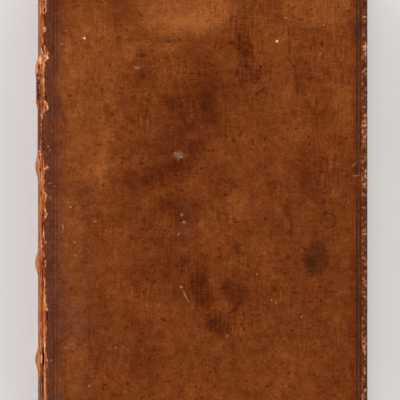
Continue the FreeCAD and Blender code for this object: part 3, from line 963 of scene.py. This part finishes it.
def make_endpaper(name, seed, pasted_half, rear=False):
    """Half of the sheet's path carried along the book, a little cockled, with the turned-in edge's step."""
    path, fold_at, pasted_from = paper_path()
    pasted = np.arange(len(path)) >= pasted_from
    half_sheet = slice(fold_at, None) if pasted_half else slice(0, fold_at + 1)
    path, pasted = path[half_sheet], pasted[half_sheet]
    widened = np.interp(path[:, 0], (joint, joint + 3), (fly_half, paste_half - 0.05))
    half = np.where(pasted, widened, fly_half)
    rows = samples(-1, (-0.8, 0.012), (0.8, 0.03), (1, 0.012))
    y = rows[:, None] * half
    x = np.broadcast_to(path[:, 0], y.shape)
    z = np.broadcast_to(path[:, 1], y.shape)
    inner = np.minimum(fore_edge - x, cover_half - np.abs(y)) - TURN_IN - 1.2 * wander(x, y, 9, seed)
    stepped = 0.28 * ease(inner, 0, 1.5) * pasted
    slips = sum(np.exp(-(((y - band) / SLIP_HALF) ** 2)) for band in band_places)
    slips = slips * (1 - ease(x, joint + 6, joint + 10))
    z = z + stepped * (1 - slips) + 0.02 * cloud(x, y, 12, seed + 1) * pasted
    marks = {"pasted": np.broadcast_to(pasted, y.shape) * 1.0, "border": 1 - ease(np.abs(inner), 0.2, 1.6)}
    z = top - z if rear else z
    return make_piece(name, np.stack([x, y, z], -1), grid(*y.shape), marks, thickness=PAPER, turned=rear)


endpapers = []
for side, seed, height in (("front", 81, top), ("rear", 91, 0.0)):
    loose_half = make_endpaper(side + "_flyleaf_sheet", seed, False, rear=side == "rear")
    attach(loose_half, "text_block")
    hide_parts(side + "_flyleaf")
    pasted_half = make_endpaper(side + "_pastedown_sheet", seed, True, rear=side == "rear")
    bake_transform(pasted_half)
    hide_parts(side + "_pastedown")
    endpapers += [loose_half, pasted_half]

# %% [markdown]
# ## Leaves
# The text block is some two hundred leaves, cut at three edges. The leaves can't be seen one by one from
# the front, but their edges can, from the head, the fore-edge and the tail. So one surface runs round
# those three edges, and its height changes from leaf to leaf, the same all along each leaf. Two hundred
# thin sheets would cost far more faces, and only their edges would show. The leaves are drawn 0.27 mm
# thick, about twice the real thickness, so that they show.

# %% Text block
LEAF_STEP = 0.137  # two rows of points for each leaf
LEAF_GROOVE, LEAF_SPREAD, SECTION_SPREAD = 0.07, 0.07, 0.10
FORE_EDGE_HOLLOW = 1.0
SECTION = 16  # rows of points in each folded section
block_half = leaf_level - middle


def make_leaves():
    """Rows go up through the leaves, columns run from the head's spine end round to the tail's.

    Each row is moved in by its leaf's own amount and by its section's, and every second row by the groove
    between two leaves. The fore-edge is hollowed by a parabola that is deepest at the middle leaf.
    """
    level = samples(-1, (1, LEAF_STEP / block_half))
    count = len(level)
    random = np.random.default_rng(101)
    leaf = np.repeat(random.uniform(0, LEAF_SPREAD, count // 2 + 1), 2)[:count]
    section = np.repeat(random.uniform(0, SECTION_SPREAD, count // SECTION + 1), SECTION)[:count]
    moved = leaf + section + LEAF_GROOVE * (np.arange(count) % 2)
    moved = (moved * ease(1 - np.abs(level), 0, 0.03))[:, None]
    wall = shoulder + 0.01
    far, near_far = text_edge - 0.3, text_edge - 1.4
    high, near_high = text_half - 0.3, text_half - 1.4
    head_x = samples(spine_edge + 0.9, (shoulder - 0.01, 0.3), (wall, 0.1), (near_far, 2.4), (far, 0.3))
    side_y = samples(high, (near_high, 0.3), (-near_high, 2.4), (-high, 0.3))
    half = np.where(head_x < shoulder, shoulder_half, block_half)
    hollow = FORE_EDGE_HOLLOW * (1 - level[:, None] ** 2)
    reach = hollow * ease(head_x, text_edge - 60, text_edge)
    x_head = head_x - reach
    y_head = text_half - moved + 0 * head_x
    x_side = text_edge - hollow - moved + 0 * side_y
    y_side = np.broadcast_to(side_y, x_side.shape)
    x = np.concatenate([x_head, x_side, x_head[:, ::-1]], 1)
    y = np.concatenate([y_head, y_side, -y_head[:, ::-1]], 1)
    halves = np.concatenate([half, np.full(len(side_y), block_half), half[::-1]])
    z = middle + level[:, None] * halves + 0.03 * wander(x, y, 14, 102)
    edge_points = np.stack([x, y, z], -1)
    cells = grid(*x.shape)[:, ::-1]
    wide, head = x.shape[1], len(head_x)
    strip = np.arange(head - 1)
    fan = np.arange(head, wide - head)
    lid = np.stack([strip, strip + 1, wide - 2 - strip, wide - 1 - strip], -1)
    lid = np.concatenate([lid, np.stack([0 * fan + head - 1, fan, fan + 1, fan + 1], -1)])
    lids = [lid, lid[:, ::-1] + (count - 1) * wide]
    rows = np.arange(count - 1) * wide
    spine_side = np.stack([rows, rows + wide, rows + 2 * wide - 1, rows + wide - 1], -1)[:, ::-1]
    tone = np.repeat(random.uniform(-1, 1, count // 2 + 1), 2)[:count, None] + 0 * x
    # The leaves' edges are darker towards the spine, by up to half; every second row is the groove between
    # two leaves.
    near = np.minimum(ease(x, spine_edge, spine_edge + 9) * 0.5 + 0.5, 1)
    deep = (np.arange(count) % 2)[:, None] + 0 * x
    marks = {"leaf": tone, "groove": deep, "darker_by_spine": 1 - near}
    return make_piece("leaves", edge_points, np.concatenate([cells, *lids, spine_side]), marks)


leaves = make_leaves()
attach(leaves, "text_block")
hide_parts("text_block")

# %% [markdown]
# ## Endbands
# An endband is a cord core at the head and tail of the back, wound with linen thread through the
# sections. Each turn of thread is a small ring, so the surface is a tube along the back's curve whose
# radius rises and falls once for each turn. Single rings of thread would cost far more faces, and at this
# size they would look the same.

# %% Thread-wound endbands
THREAD = 0.55  # along the band for one turn
THREAD_RISE = 0.13
BAND_SIDES = 20


def make_endband(name, side):
    """A tube round a line that follows the back's arc. Its radius has one rounded ridge for each thread."""
    (low_x, low_y, low_z), (high_x, high_y, high_z) = corners(name)
    core_y = (low_y + high_y) / 2
    core = (high_y - low_y) / 2 - 0.05
    along = samples(low_z + 0.1, (high_z - 0.1, THREAD / 8))
    around = np.linspace(0, 2 * math.pi, BAND_SIDES + 1)[:-1]
    phase = (along[:, None] + 0.12 * core * np.cos(around)) / THREAD
    ridge = np.abs(np.sin(math.pi * phase))
    closing = np.sqrt(np.clip(1 - ((along - middle) / (high_z - middle)) ** 16, 0, 1))[:, None]
    size = (core - THREAD_RISE * (1 - ridge)) * closing
    back = spine_centre - np.sqrt((spine_radius - core) ** 2 - (along - middle) ** 2)
    x = back[:, None] + size * np.cos(around) * 1.05
    y = core_y + size * np.sin(around)
    z = along[:, None] + 0 * x
    points = np.stack([x, y, z], -1)
    rows, columns = x.shape
    start = np.arange(rows - 1)[:, None] * columns
    first, after = start + np.arange(columns), start + (np.arange(columns) + 1) % columns
    cells = np.stack([first, after, after + columns, first + columns], -1).reshape(-1, 4)
    tips = np.array([[x[0].mean(), core_y, low_z + 0.05], [x[-1].mean(), core_y, high_z - 0.05]])
    points = np.concatenate([points.reshape(-1, 3), tips])
    ring, beside = np.arange(columns), (np.arange(columns) + 1) % columns
    last, tip = (rows - 1) * columns, 0 * ring + rows * columns
    caps = [np.stack([beside, ring, tip, tip], -1)]
    caps += [np.stack([last + ring, last + beside, tip + 1, tip + 1], -1)]
    marks = {"ridge": np.append(ridge.ravel(), [0, 0])}
    piece = make_piece(f"{side}_endband_thread", points, np.concatenate([cells, *caps]), marks)
    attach(piece, "text_block")
    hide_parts(name)
    return piece


endbands = [make_endband("head_endband", "head"), make_endband("tail_endband", "tail")]

# %% [markdown]
# ## Polished brown calf
# Calf is a smooth skin whose hair pits are almost too fine to see. It was stained, paste-washed and
# polished, so it has a soft shine, and its colour lies in clouds with a fine fibrous grain. Where the
# grain layer is gone, the flesh side is matt, fibrous and orange. A separate finish for each piece would
# change at every seam, so one recipe makes them all. It reads the clouds and the wear from the meshes, and
# adds what is finer than their points.

# %% Marks that only the front cover has
# each: column, row, half width and half height in pixels, turn in degrees, strength
RINGS = [
    (222.5, 217, 6.0, 6.0, 0, 0.45), (328.5, 220.5, 8.8, 8.6, 0, 0.6), (213.5, 326, 8.0, 7.0, 0, 0.6),
    (275, 330, 5.0, 6.0, 20, 0.3), (235, 249, 5.0, 4.5, 0, 0.3), (240, 254, 4.0, 3.5, 0, 0.4),
]
SPOTS = [
    (236, 246, 7, 4, 20, 0.5), (240, 253, 5, 4, 0, 0.4), (241, 340, 2.4, 2.2, 0, 0.8),
    (292, 330, 2.4, 2.2, 0, 0.8), (100, 145, 2.4, 2.2, 0, 0.7), (111, 80, 3, 3, 0, 0.7),
    (141, 15, 2, 2, 0, 0.8), (240, 135, 2.6, 2.4, 0, 0.6), (261, 91, 9, 1.9, 37, 0.95),
    (257, 94, 4, 2.6, 30, 0.8), (288.6, 32, 1.8, 9, 3, 0.6), (289.5, 47, 2.4, 10, 3, 0.65),
    (290, 61, 2.2, 6, 12, 0.65), (293.5, 66.5, 4, 2.2, -35, 0.65), (296, 76, 2.0, 9, 3, 0.6),
    (297, 90, 2.0, 9, 5, 0.6), (287, 58, 3.4, 1.6, -50, 0.6), (322, 44, 1.6, 5, 4, 0.7),
    (323, 56, 2.2, 6, 2, 0.7), (316.5, 103, 1.6, 12, 2, 0.6), (317, 125, 1.6, 12, 4, 0.5),
    (172, 41.5, 30, 2.6, 1, 0.4), (135, 39.5, 24, 2.2, 3, 0.3), (165, 39, 10, 2.2, 0, 0.3),
    (356, 170, 4.5, 7, 0, 0.8), (357, 33, 3.5, 9, 0, 0.6), (212, 327, 5, 4.5, 0, 0.4),
    (328.5, 220.5, 6, 6, 0, 0.25), (184, 120, 3, 9, 15, 0.45), (172, 108, 6, 3, 30, 0.5),
    (190, 170, 2.4, 8, 20, 0.4), (228, 288, 5, 4, 0, 0.5), (150, 72, 4, 2.4, 0, 0.4),
    (236.5, 22, 1.4, 4, 0, 0.9), (239.5, 37, 2, 6, 0, 0.8), (232, 43, 5, 2.4, 0, 0.7),
    (239, 49, 3, 3, 0, 0.9), (246, 53, 5, 6, 0, 0.7), (252, 47, 3, 4, 0, 0.6),
    (237, 73, 3.4, 5, 0, 0.75), (246, 66, 4, 4, 0, 0.6),
    (141.5, 55, 4, 3.4, 0, 0.7), (143.5, 76, 4, 4.4, 0, 0.6), (257.5, 92, 5, 3, 50, 0.7),
    (210, 64, 3, 3, 0, 0.6), (179, 98, 7, 3, 0, 0.6), (206, 95, 4, 4, 0, 0.6), (112, 114, 2.4, 3.4, 0, 0.6),
    (203, 108, 4, 8, 10, 0.5), (168, 103, 5, 4, 0, 0.5), (143, 180, 11, 3, -15, 0.4),
    (185, 262, 3, 3, 0, 0.5), (197, 292, 7, 4, 0, 0.5), (203, 302, 4, 5, 0, 0.5),
    (233, 294, 4, 6, 0, 0.5), (240, 303, 3, 4, 0, 0.4),
    (213, 322, 8, 4, 0, 0.4), (228, 330, 6, 4, 0, 0.4), (147, 365, 6, 5, 0, 0.35), (301, 168, 4, 5, 0, 0.3),
    (311, 262, 10, 10, 0, 0.9), (287, 212, 5, 6, 0, 0.35), (290, 232, 5, 5, 0, 0.6), (189, 97, 6, 4, 0, 0.4),
    (122, 128, 5, 4, 0, 0.35), (160, 152, 6, 4, 0, 0.3), (86, 192, 6, 5, 0, 0.3),
]
PALE_SPECKS = [
    (277, 41, 2.0, 1.4, 10, 1), (84, 38, 1.9, 1.5, 0, 1), (66, 31, 1.5, 1.1, 0, 0.29),
    (62, 44, 1.3, 1.1, 0, 0.22), (324, 25, 1.3, 1.3, 0, 0.25), (286, 18, 2.2, 1.4, 0, 0.15),
    (182, 215, 1.6, 1.4, 0, 0.22), (179, 234, 1.4, 1.5, 0, 0.2), (181, 287, 1.7, 1.7, 0, 0.32),
    (186, 296, 0.9, 9, 28, 0.25), (95, 221, 1.4, 1.2, 0, 0.27), (70, 207, 1.8, 1.5, 0, 0.29),
    (77, 208, 1.4, 1.2, 0, 0.15), (106, 231, 1.3, 1.3, 0, 0.15), (75, 242, 1.8, 1.8, 0, 0.17),
    (75, 256, 1.8, 1.4, 0, 0.15), (116, 347, 1.4, 1.4, 0, 0.17), (89, 386, 1.5, 1.3, 0, 0.22),
    (272, 300, 1.3, 1.3, 0, 0.29), (276, 303, 1.2, 1.2, 0, 0.2), (302, 317, 1.0, 2.2, 0, 0.22),
    (210, 280, 1.2, 1.2, 0, 0.25), (257, 274, 1.2, 1.2, 0, 0.29), (227, 336, 1.2, 1.2, 0, 0.25),
    (63, 226.5, 0.9, 4, 15, 0.29), (137, 68, 4.2, 2, 0, 0.15), (48.3, 146.5, 1.2, 1.0, 0, 0.39),
    (50.3, 150.2, 1.2, 1.0, 0, 0.34), (52, 131.5, 2.4, 0.8, -15, 0.15), (61, 157, 1.0, 1.8, -30, 0.15),
    (49.5, 183, 2.2, 0.8, 10, 0.19), (54.5, 186, 1.8, 0.8, 30, 0.11), (47, 360, 1.4, 1.2, 0, 0.29),
    (51.5, 360, 1.8, 1.0, 0, 0.25), (50, 198, 3.0, 2.4, 0, 0.08), (67, 348, 5, 1.0, -20, 0.12),
    (364, 54, 1.6, 5, 4, 0.25), (363, 142, 1.0, 5, 12, 0.25), (365, 160, 1.1, 5, -14, 0.29),
    (362.5, 124, 0.9, 5, -20, 0.25), (364.5, 240, 1.1, 5, 4, 0.2), (363, 290, 0.9, 3, 0, 0.15),
    (365, 345, 0.8, 3, 8, 0.2), (354, 165, 4, 0.7, 30, 0.2), (356, 176, 5, 0.7, 4, 0.2),
    (175, 153, 1.4, 1.2, 0, 0.2), (181, 157, 1.3, 1.3, 0, 0.2), (178, 160, 1.0, 1.0, 0, 0.17),
]
GREY_SPECKS = [(184, 222, 3, 2.2, 0, 0.7), (179, 155, 8, 5, 0, 0.35)]
BLOT = (316, 259, 17, 23, -6)
BLOT_SPIKES = 46.0  # noise cells round the blot
RING_RAMP = [(0.0, "000000"), (0.09, "ffffff"), (0.2, "f0f0f0"), (0.36, "a0a0a0"), (1.0, "a8a8a8")]
MARK_BEND = 1.6  # millimetres by which noise bends the marks' borders


# %% Tools for layers
def weighted(tree, *pairs, less=0.0):
    """A sum of outputs, each times its weight, less a number."""
    total = -less
    for value, weight in pairs:
        total = add(tree, "Math", value, weight, total, operation="MULTIPLY_ADD")
    return total


def lay(tree, colour, *coats):
    """Lays coats over a colour. Each coat is where it lies, how strong it is there, and its own colour."""
    for where, strength, coat in coats:
        cover = add(tree, "Math", where, strength, operation="MULTIPLY")
        inputs = {"Factor": cover, MIX_UNDER: colour, MIX_OVER: coat}
        colour = add(tree, "Mix", inputs, out=MIX_COLOUR, data_type="RGBA")
    return colour


def grains(tree, place, table):
    """The patterns of a table, by name: each one's size in millimetres, detail, roughness and stretch.

    A pattern repeats about every size. Along x, y and z it is as many times finer as its stretch says.
    """
    found = {}
    for name, (size, detail, rough, *stretch) in table.items():
        where = add(tree, "Mapping", {"Vector": place, "Scale": stretch[0]}) if stretch else place
        inputs = {"Vector": where, "Scale": per(size), "Detail": detail, "Roughness": rough}
        found[name] = add(tree, "TexNoise", inputs)
    return found


def surface(tree, shader, colour, height, strength, depth):
    """Gives a shader its colour, and a bump from a height, as deep as so many millimetres."""
    bump = add(tree, "Bump", {"Height": height, "Strength": strength, "Distance": depth * MM})
    tree.links.new(colour, shader.inputs["Base Color"])
    tree.links.new(bump, shader.inputs["Normal"])


# %% Spots on the front cover
SPOT_DEPTH = 12.0  # millimetres that a spot reaches above and below the cover's face


def spot_place(tree, place, column, row, half_wide, half_high, turn, *_):
    """Where a point lies in a spot: 0 at its middle, and 1 at its half width or half height."""
    size = (half_wide * PIXEL * MM, half_high * PIXEL * MM, SPOT_DEPTH * MM)
    turned = (0, 0, math.radians(turn))
    inputs = {"Vector": place, "Location": place_of(column, row), "Rotation": turned, "Scale": size}
    return add(tree, "Mapping", inputs, vector_type="TEXTURE")


def spot(tree, place, mark):
    """A soft spot: 1 at its middle, 0 at its rim and past it."""
    return add(tree, "TexGradient", spot_place(tree, place, *mark), out="Fac", gradient_type="SPHERICAL")


def spots(tree, place, marks, rim, full):
    """The strongest of many spots at each place. Each grows from its rim's level to its full level."""
    strongest = 0.0
    for mark in marks:
        inside = spot(tree, place, mark)
        level = add(tree, "MapRange", inside, rim, full, 0.0, mark[-1], interpolation_type="SMOOTHSTEP")
        strongest = add(tree, "Math", level, strongest, operation="MAXIMUM")
    return strongest


def rings(tree, place):
    """Rings where wet drops dried: each is a spot whose rim is darker than its middle."""
    rims = [add(tree, "ValToRGB", spot(tree, place, ring), stops=RING_RAMP) for ring in RINGS]
    return weighted(tree, *[(rim, ring[-1]) for rim, ring in zip(rims, RINGS)])


def blot(tree, place):
    """A feathered blot: noise read round its middle makes spikes, and noise read in place makes it uneven."""
    local = spot_place(tree, place, *BLOT)
    inside = add(tree, "TexGradient", local, out="Fac", gradient_type="SPHERICAL")
    round_it = add(tree, "TexGradient", local, out="Fac", gradient_type="RADIAL")
    inputs = {"W": round_it, "Scale": BLOT_SPIKES, "Detail": 2.0}
    spikes = add(tree, "TexNoise", inputs, noise_dimensions="1D")
    inside = add(tree, "MapRange", weighted(tree, (inside, 2.2), (spikes, 1.6)), 1.28, 1.52)
    patch = grains(tree, place, {"patch": (1.5, 4.0, 0.7)})["patch"]
    uneven = add(tree, "MapRange", patch, 0.35, 0.62, 0.3, 0.8)
    return add(tree, "Math", inside, uneven, operation="MULTIPLY")


print(len(SPOTS), "spots,", len(PALE_SPECKS), "pale specks,", len(RINGS), "rings and one blot")

# %% Grain and colours of the calf
# Hair pits are 0.1 mm apart on the real skin and drawn 0.4 mm apart, or they wouldn't show. The fibres are
# drawn out along or across the book, as the hand that polished it went.
CALF_GRAINS = {
    "across": (6.0, 4.0, 0.6, (1.0, 8.0, 8.0)),
    "along": (8.0, 4.0, 0.6, (8.0, 1.0, 8.0)),
    "mottle": (7.0, 5.0, 0.6),
    "blotch": (2.8, 4.0, 0.6),
    "fine": (1.0, 4.0, 0.7),
    "pits": (0.4, 2.0, 0.5),
    "streaky": (17.0, 3.0, 0.5),
    "flecked": (12.0, 3.0, 0.5),
    "chafing": (1.4, 4.0, 0.7),
    "fibre": (1.4, 5.0, 0.7, (3.0, 1.0, 3.0)),
}
CALF_MARKS = ("tone", "dusk", "streaks", "line", "shine", "edge", "rim", "chafe", "flesh", "pale", "dark")
CALF_RAMP = [
    (0.0, "471500"), (0.18, "551f00"), (0.36, "632905"), (0.52, "71340e"), (0.68, "7f4015"),
    (0.84, "8f4b1e"), (1.0, "a25927"),
]
FLESH_RAMP = [
    (0.0, "3a1207"), (0.25, "7c3619"), (0.45, "ac592f"), (0.62, "cb8250"), (0.8, "e0a06c"), (1.0, "f6caa4"),
]
EDGE_RAMP = [(0.42, "38190b"), (0.54, "55290f"), (0.62, "713e24"), (0.69, "ab704c"), (0.78, "d8a67e")]
GRIME_RAMP = [(0.3, "3c2118"), (0.5, "593023"), (0.7, "78472d")]
# The second colour here is a painted highlight on the blind lines' lips, and the third is painted shade in
# cracks and under lifted edges.
BURNT_LINE, LIP_HIGHLIGHT, CRACK_SHADE = "261105", "8e5a42", "260d05"
SPOT_COLOUR, RING_COLOUR, BLOT_COLOUR = "3a1504", "3c1608", "401a06"
PALE_SPECK, GREY_SPECK = "eebd93", "a08a78"
print("calf from", CALF_RAMP[0][1], "to", CALF_RAMP[-1][1], "in", len(CALF_GRAINS), "grains")


# %% Layers of the calf
def stained(tree, bent, grain, mark):
    """The browns: a ramp read at clouds and grain added up, with streaks and dark flecks in some regions."""
    regions = add(tree, "MapRange", grain["streaky"], 0.42, 0.66, 0.12, 0.9)
    regions = add(tree, "Math", regions, mark["streaks"], operation="ADD")
    streaks = weighted(tree, (grain["across"], 0.35), (grain["along"], 0.65), less=0.5)
    streaks = add(tree, "Math", streaks, regions, operation="MULTIPLY")
    flecks = grains(tree, bent, {"flecks": (1.7, 2.0, 0.5)})["flecks"]
    flecks = add(tree, "MapRange", flecks, 0.40, 0.30)
    flecked = add(tree, "MapRange", grain["flecked"], 0.4, 0.64, 0.1)
    flecks = add(tree, "Math", flecks, flecked, operation="MULTIPLY")
    clouds = [(mark["tone"], 0.42), (grain["mottle"], 0.5), (grain["blotch"], 0.55)]
    skin = [(grain["fine"], 0.7), (grain["pits"], 0.65), (streaks, 1.3), (flecks, -0.42)]
    return add(tree, "ValToRGB", weighted(tree, *clouds, *skin, less=0.662), stops=CALF_RAMP)


def soiled_and_highlit(tree, colour, grain, mark):
    """Grime along the joint, the burnt floor of each blind line, and a painted highlight on its lips."""
    wide = [(grain["along"], 0.4), (grain["blotch"], 0.35)]
    small = [(grain["fine"], 0.45), (grain["pits"], 0.35)]
    grime = add(tree, "ValToRGB", weighted(tree, *wide, *small, less=0.275), stops=GRIME_RAMP)
    caught = weighted(tree, (grain["blotch"], 1.6))
    burnt = weighted(tree, (grain["fine"], 0.855), less=-0.57)
    return lay(
        tree, colour,
        (mark["dusk"], caught, grime),
        (mark["line"], burnt, BURNT_LINE),
        (mark["shine"], 0.35, LIP_HIGHLIGHT),
    )


def spotted(tree, colour, place, bent, grain):
    """What only the front cover has: spots, rings, the blot, and specks where the surface is nicked."""
    patchy = add(tree, "MapRange", grain["fine"], 0.3, 0.6, 0.35)
    broken = add(tree, "MapRange", grain["pits"], 0.3, 0.5, 0.5)
    return lay(
        tree, colour,
        (spots(tree, bent, SPOTS, 0.0, 0.75), patchy, SPOT_COLOUR),
        (rings(tree, bent), 1.0, RING_COLOUR),
        (blot(tree, place), 1.0, BLOT_COLOUR),
        (spots(tree, bent, PALE_SPECKS, 0.05, 0.5), broken, PALE_SPECK),
        (spots(tree, bent, GREY_SPECKS, 0.05, 0.8), broken, GREY_SPECK),
    )


def chafed(tree, colour, grain, mark):
    """Rubbed edges: dark where the skin holds, and flakes of pale flesh where the chafing is deepest."""
    depth = weighted(tree, (grain["chafing"], 1.0), (mark["chafe"], 0.22), (mark["rim"], -0.1))
    return lay(tree, colour, (mark["edge"], 0.9, add(tree, "ValToRGB", depth, stops=EDGE_RAMP)))


# %% Calf
# Vegetable-tanned calf, paste-washed and polished: low, soft gloss on the grain side, none on the flesh.
def make_calf(name, marked):
    """Calf: stained, soiled, spotted if it is the front's, chafed, and open to the flesh where marked so."""
    calf, tree, shader, place = new_material(name, Specular_IOR_Level=0.1)
    inputs = {"Vector": place, "Scale": per(2.4), "Detail": 4.0, "Roughness": 0.65}
    shift = add(tree, "TexNoise", inputs, out="Color")
    shift = add(tree, "VectorMath", shift, (0.5, 0.5, 0.5), operation="SUBTRACT")
    bent = add(tree, "VectorMath", shift, (MARK_BEND * MM,) * 3, place, operation="MULTIPLY_ADD")
    grain = grains(tree, place, CALF_GRAINS)
    mark = {name: add(tree, "Attribute", out="Fac", attribute_name=name) for name in CALF_MARKS}
    colour = soiled_and_highlit(tree, stained(tree, bent, grain, mark), grain, mark)
    if marked:
        colour = spotted(tree, colour, place, bent, grain)
    colour = chafed(tree, colour, grain, mark)
    # The flesh is paler where the pale marks are: pale fibres, partly a painted highlight where they stand
    # up.
    shade = weighted(tree, (mark["pale"], 1.0), (grain["fibre"], 0.8), (grain["pits"], 0.25), less=0.53)
    flesh = add(tree, "ValToRGB", shade, stops=FLESH_RAMP)
    bare = weighted(tree, (mark["flesh"], 1.0), (grain["fine"], 0.5), (grain["pits"], 0.3))
    bare = add(tree, "MapRange", bare, 0.75, 0.98, interpolation_type="SMOOTHSTEP")
    # Where dark is marked, its colour is painted shade for the cracks and the gaps under lifted edges.
    colour = lay(tree, colour, (bare, 1.0, flesh), (mark["dark"], 1.0, CRACK_SHADE))
    rough = weighted(tree, (grain["fine"], 0.25), (bare, 0.25), less=-0.36)
    tree.links.new(rough, shader.inputs["Roughness"])
    torn = add(tree, "Math", grain["fibre"], bare, operation="MULTIPLY")
    skin = [(grain["fine"], 0.5), (grain["pits"], 0.35), (grain["across"], 0.3), (grain["along"], 0.3)]
    surface(tree, shader, colour, weighted(tree, *skin, (torn, 1.6)), 0.5, 0.09)
    return calf


front_calf = make_calf("polished_brown_calf", True)
plain_calf = make_calf("polished_brown_calf_rear", False)
for skin in (front_skin, front_joint_skin):
    dress(skin, front_calf)
for skin in (rear_skin, rear_joint_skin, spine_skin):
    dress(skin, plain_calf)

# %% [markdown]
# ## Papers, board and threads
# The leaves and the endpapers are rag paper, toned by age. The boards are pasteboard and the cords hemp;
# both only show as a rim or an end, but they get the same care. Each could be one flat colour at this
# size, but paper and thread are never even, so each gets its own grain, at the size that it has.

# %% Rag paper of the leaves
# Trimmed rag paper: matt, and toned brown by air and hands, in thin streaks that follow the leaves.
LEAF_GRAINS = {
    "streak": (9.0, 5.0, 0.65, (0.1, 0.1, 24.0)),
    "handled": (5.0, 4.0, 0.6, (1.0, 1.0, 2.0)),
    "stain": (34.0, 5.0, 0.6),
}
LEAF_RAMP = [(0.0, "765437"), (0.3, "a5825b"), (0.55, "c5a87f"), (1.0, "dfcba8")]
leaf_paper, tree, shader, place = new_material("toned_rag_paper_cut_edges", Roughness=0.85)
grain = grains(tree, place, LEAF_GRAINS)
mark = {name: add(tree, "Attribute", out="Fac", attribute_name=name) for name in ("leaf", "groove", "darker_by_spine")}
toned = [(mark["leaf"], 0.2), (grain["streak"], 0.75), (grain["stain"], 0.5), (grain["handled"], 0.25)]
colour = add(tree, "ValToRGB", weighted(tree, *toned, less=0.3), stops=LEAF_RAMP)
# The grooves between leaves get painted shade, and the edges are darker towards the spine.
colour = lay(tree, colour, (mark["groove"], 0.4, "7d6141"), (mark["darker_by_spine"], 0.8, "8b6f4c"))
surface(tree, shader, colour, grain["streak"], 0.4, 0.05)
dress(leaves, leaf_paper)

# %% Laid endpaper
# Hand-made laid paper: its mould's wires leave faint lines, damp leaves foxing, and the turned-in calf
# stains it along its edge.
LAID_LINE = 1.1  # millimetres between the mould's wires
WAVE_TURNS = 20  # a wave texture of scale 1 has this many bands in one unit
SHEET_GRAINS = {"stain": (30.0, 6.0, 0.6), "fibre": (0.8, 4.0, 0.7), "fox": (5.0, 3.0, 0.5)}
SHEET_RAMP = [(0.2, "b79b70"), (0.45, "d0bb93"), (0.7, "ddcca9"), (1.0, "e6d8ba")]
sheet_paper, tree, shader, place = new_material("laid_endpaper", Roughness=0.8)
grain = grains(tree, place, SHEET_GRAINS)
border = add(tree, "Attribute", out="Fac", attribute_name="border")
fox = add(tree, "MapRange", grain["fox"], 0.64, 0.74, interpolation_type="SMOOTHSTEP")
level = weighted(tree, (grain["stain"], 0.8), (grain["fibre"], 0.3), less=0.05)
colour = add(tree, "ValToRGB", level, stops=SHEET_RAMP)
colour = lay(tree, colour, (border, 0.5, "a5814f"), (fox, 0.45, "9c7042"))
inputs = {"Vector": place, "Scale": per(LAID_LINE) / WAVE_TURNS}
wires = add(tree, "TexWave", inputs, out="Fac", bands_direction="Y")
surface(tree, shader, colour, weighted(tree, (wires, 0.4), (grain["fibre"], 0.6)), 0.4, 0.05)
for sheet in endpapers:
    dress(sheet, sheet_paper)

# %% Linen thread
# Spun linen, browned by dust: matt, a little fuzzy, dark between its turns as painted shade, and lighter on
# their tops.
linen, tree, shader, place = new_material("linen_thread", Roughness=0.8)
fuzz = grains(tree, place, {"fuzz": (0.5, 4.0, 0.7)})["fuzz"]
ridge = add(tree, "Attribute", out="Fac", attribute_name="ridge")
level = weighted(tree, (ridge, 0.55), (fuzz, 0.6))
colour = add(tree, "ValToRGB", level, stops=[(0.15, "6b5131"), (0.5, "b39a6b"), (0.9, "d8c79c")])
surface(tree, shader, colour, fuzz, 0.5, 0.06)
for endband in endbands:
    dress(endband, linen)

# %% Pasteboard
# Sheets of waste paper pasted together: matt, grey-brown, with its layers showing at a cut edge.
board, tree, shader, place = new_material("grey_brown_pasteboard", Roughness=0.9)
layer = grains(tree, place, {"layer": (3.0, 5.0, 0.65, (1.0, 1.0, 8.0))})["layer"]
colour = add(tree, "ValToRGB", layer, stops=[(0.3, "7c6a50"), (0.5, "9d8b6d"), (0.75, "b3a284")])
surface(tree, shader, colour, layer, 0.5, 0.1)

# %% Hemp cord
# Twisted hemp: matt and straw-brown, with slanting strands.
TWIST = 1.2  # millimetres along a cord for one strand
hemp, tree, shader, place = new_material("twisted_hemp_cord", Roughness=0.85)
turned = add(tree, "Mapping", {"Vector": place, "Rotation": (0.0, 0.0, math.radians(40))})
inputs = {"Vector": turned, "Scale": per(TWIST) / WAVE_TURNS, "Distortion": 1.5}
strand = add(tree, "TexWave", inputs, out="Fac")
colour = add(tree, "ValToRGB", strand, stops=[(0.1, "77603a"), (0.6, "a98f60"), (1.0, "c0a877")])
surface(tree, shader, colour, strand, 0.7, 0.2)

# %% The solids that stay
for word, finish in (("board", board), ("cord", hemp)):
    solids = [solid for name, solid in frame["nodes"].items() if word in name]
    for solid in solids:
        solid.data.materials.clear()
        solid.data.materials.append(finish)
    print(len(solids), "solids stay, in", finish.name)
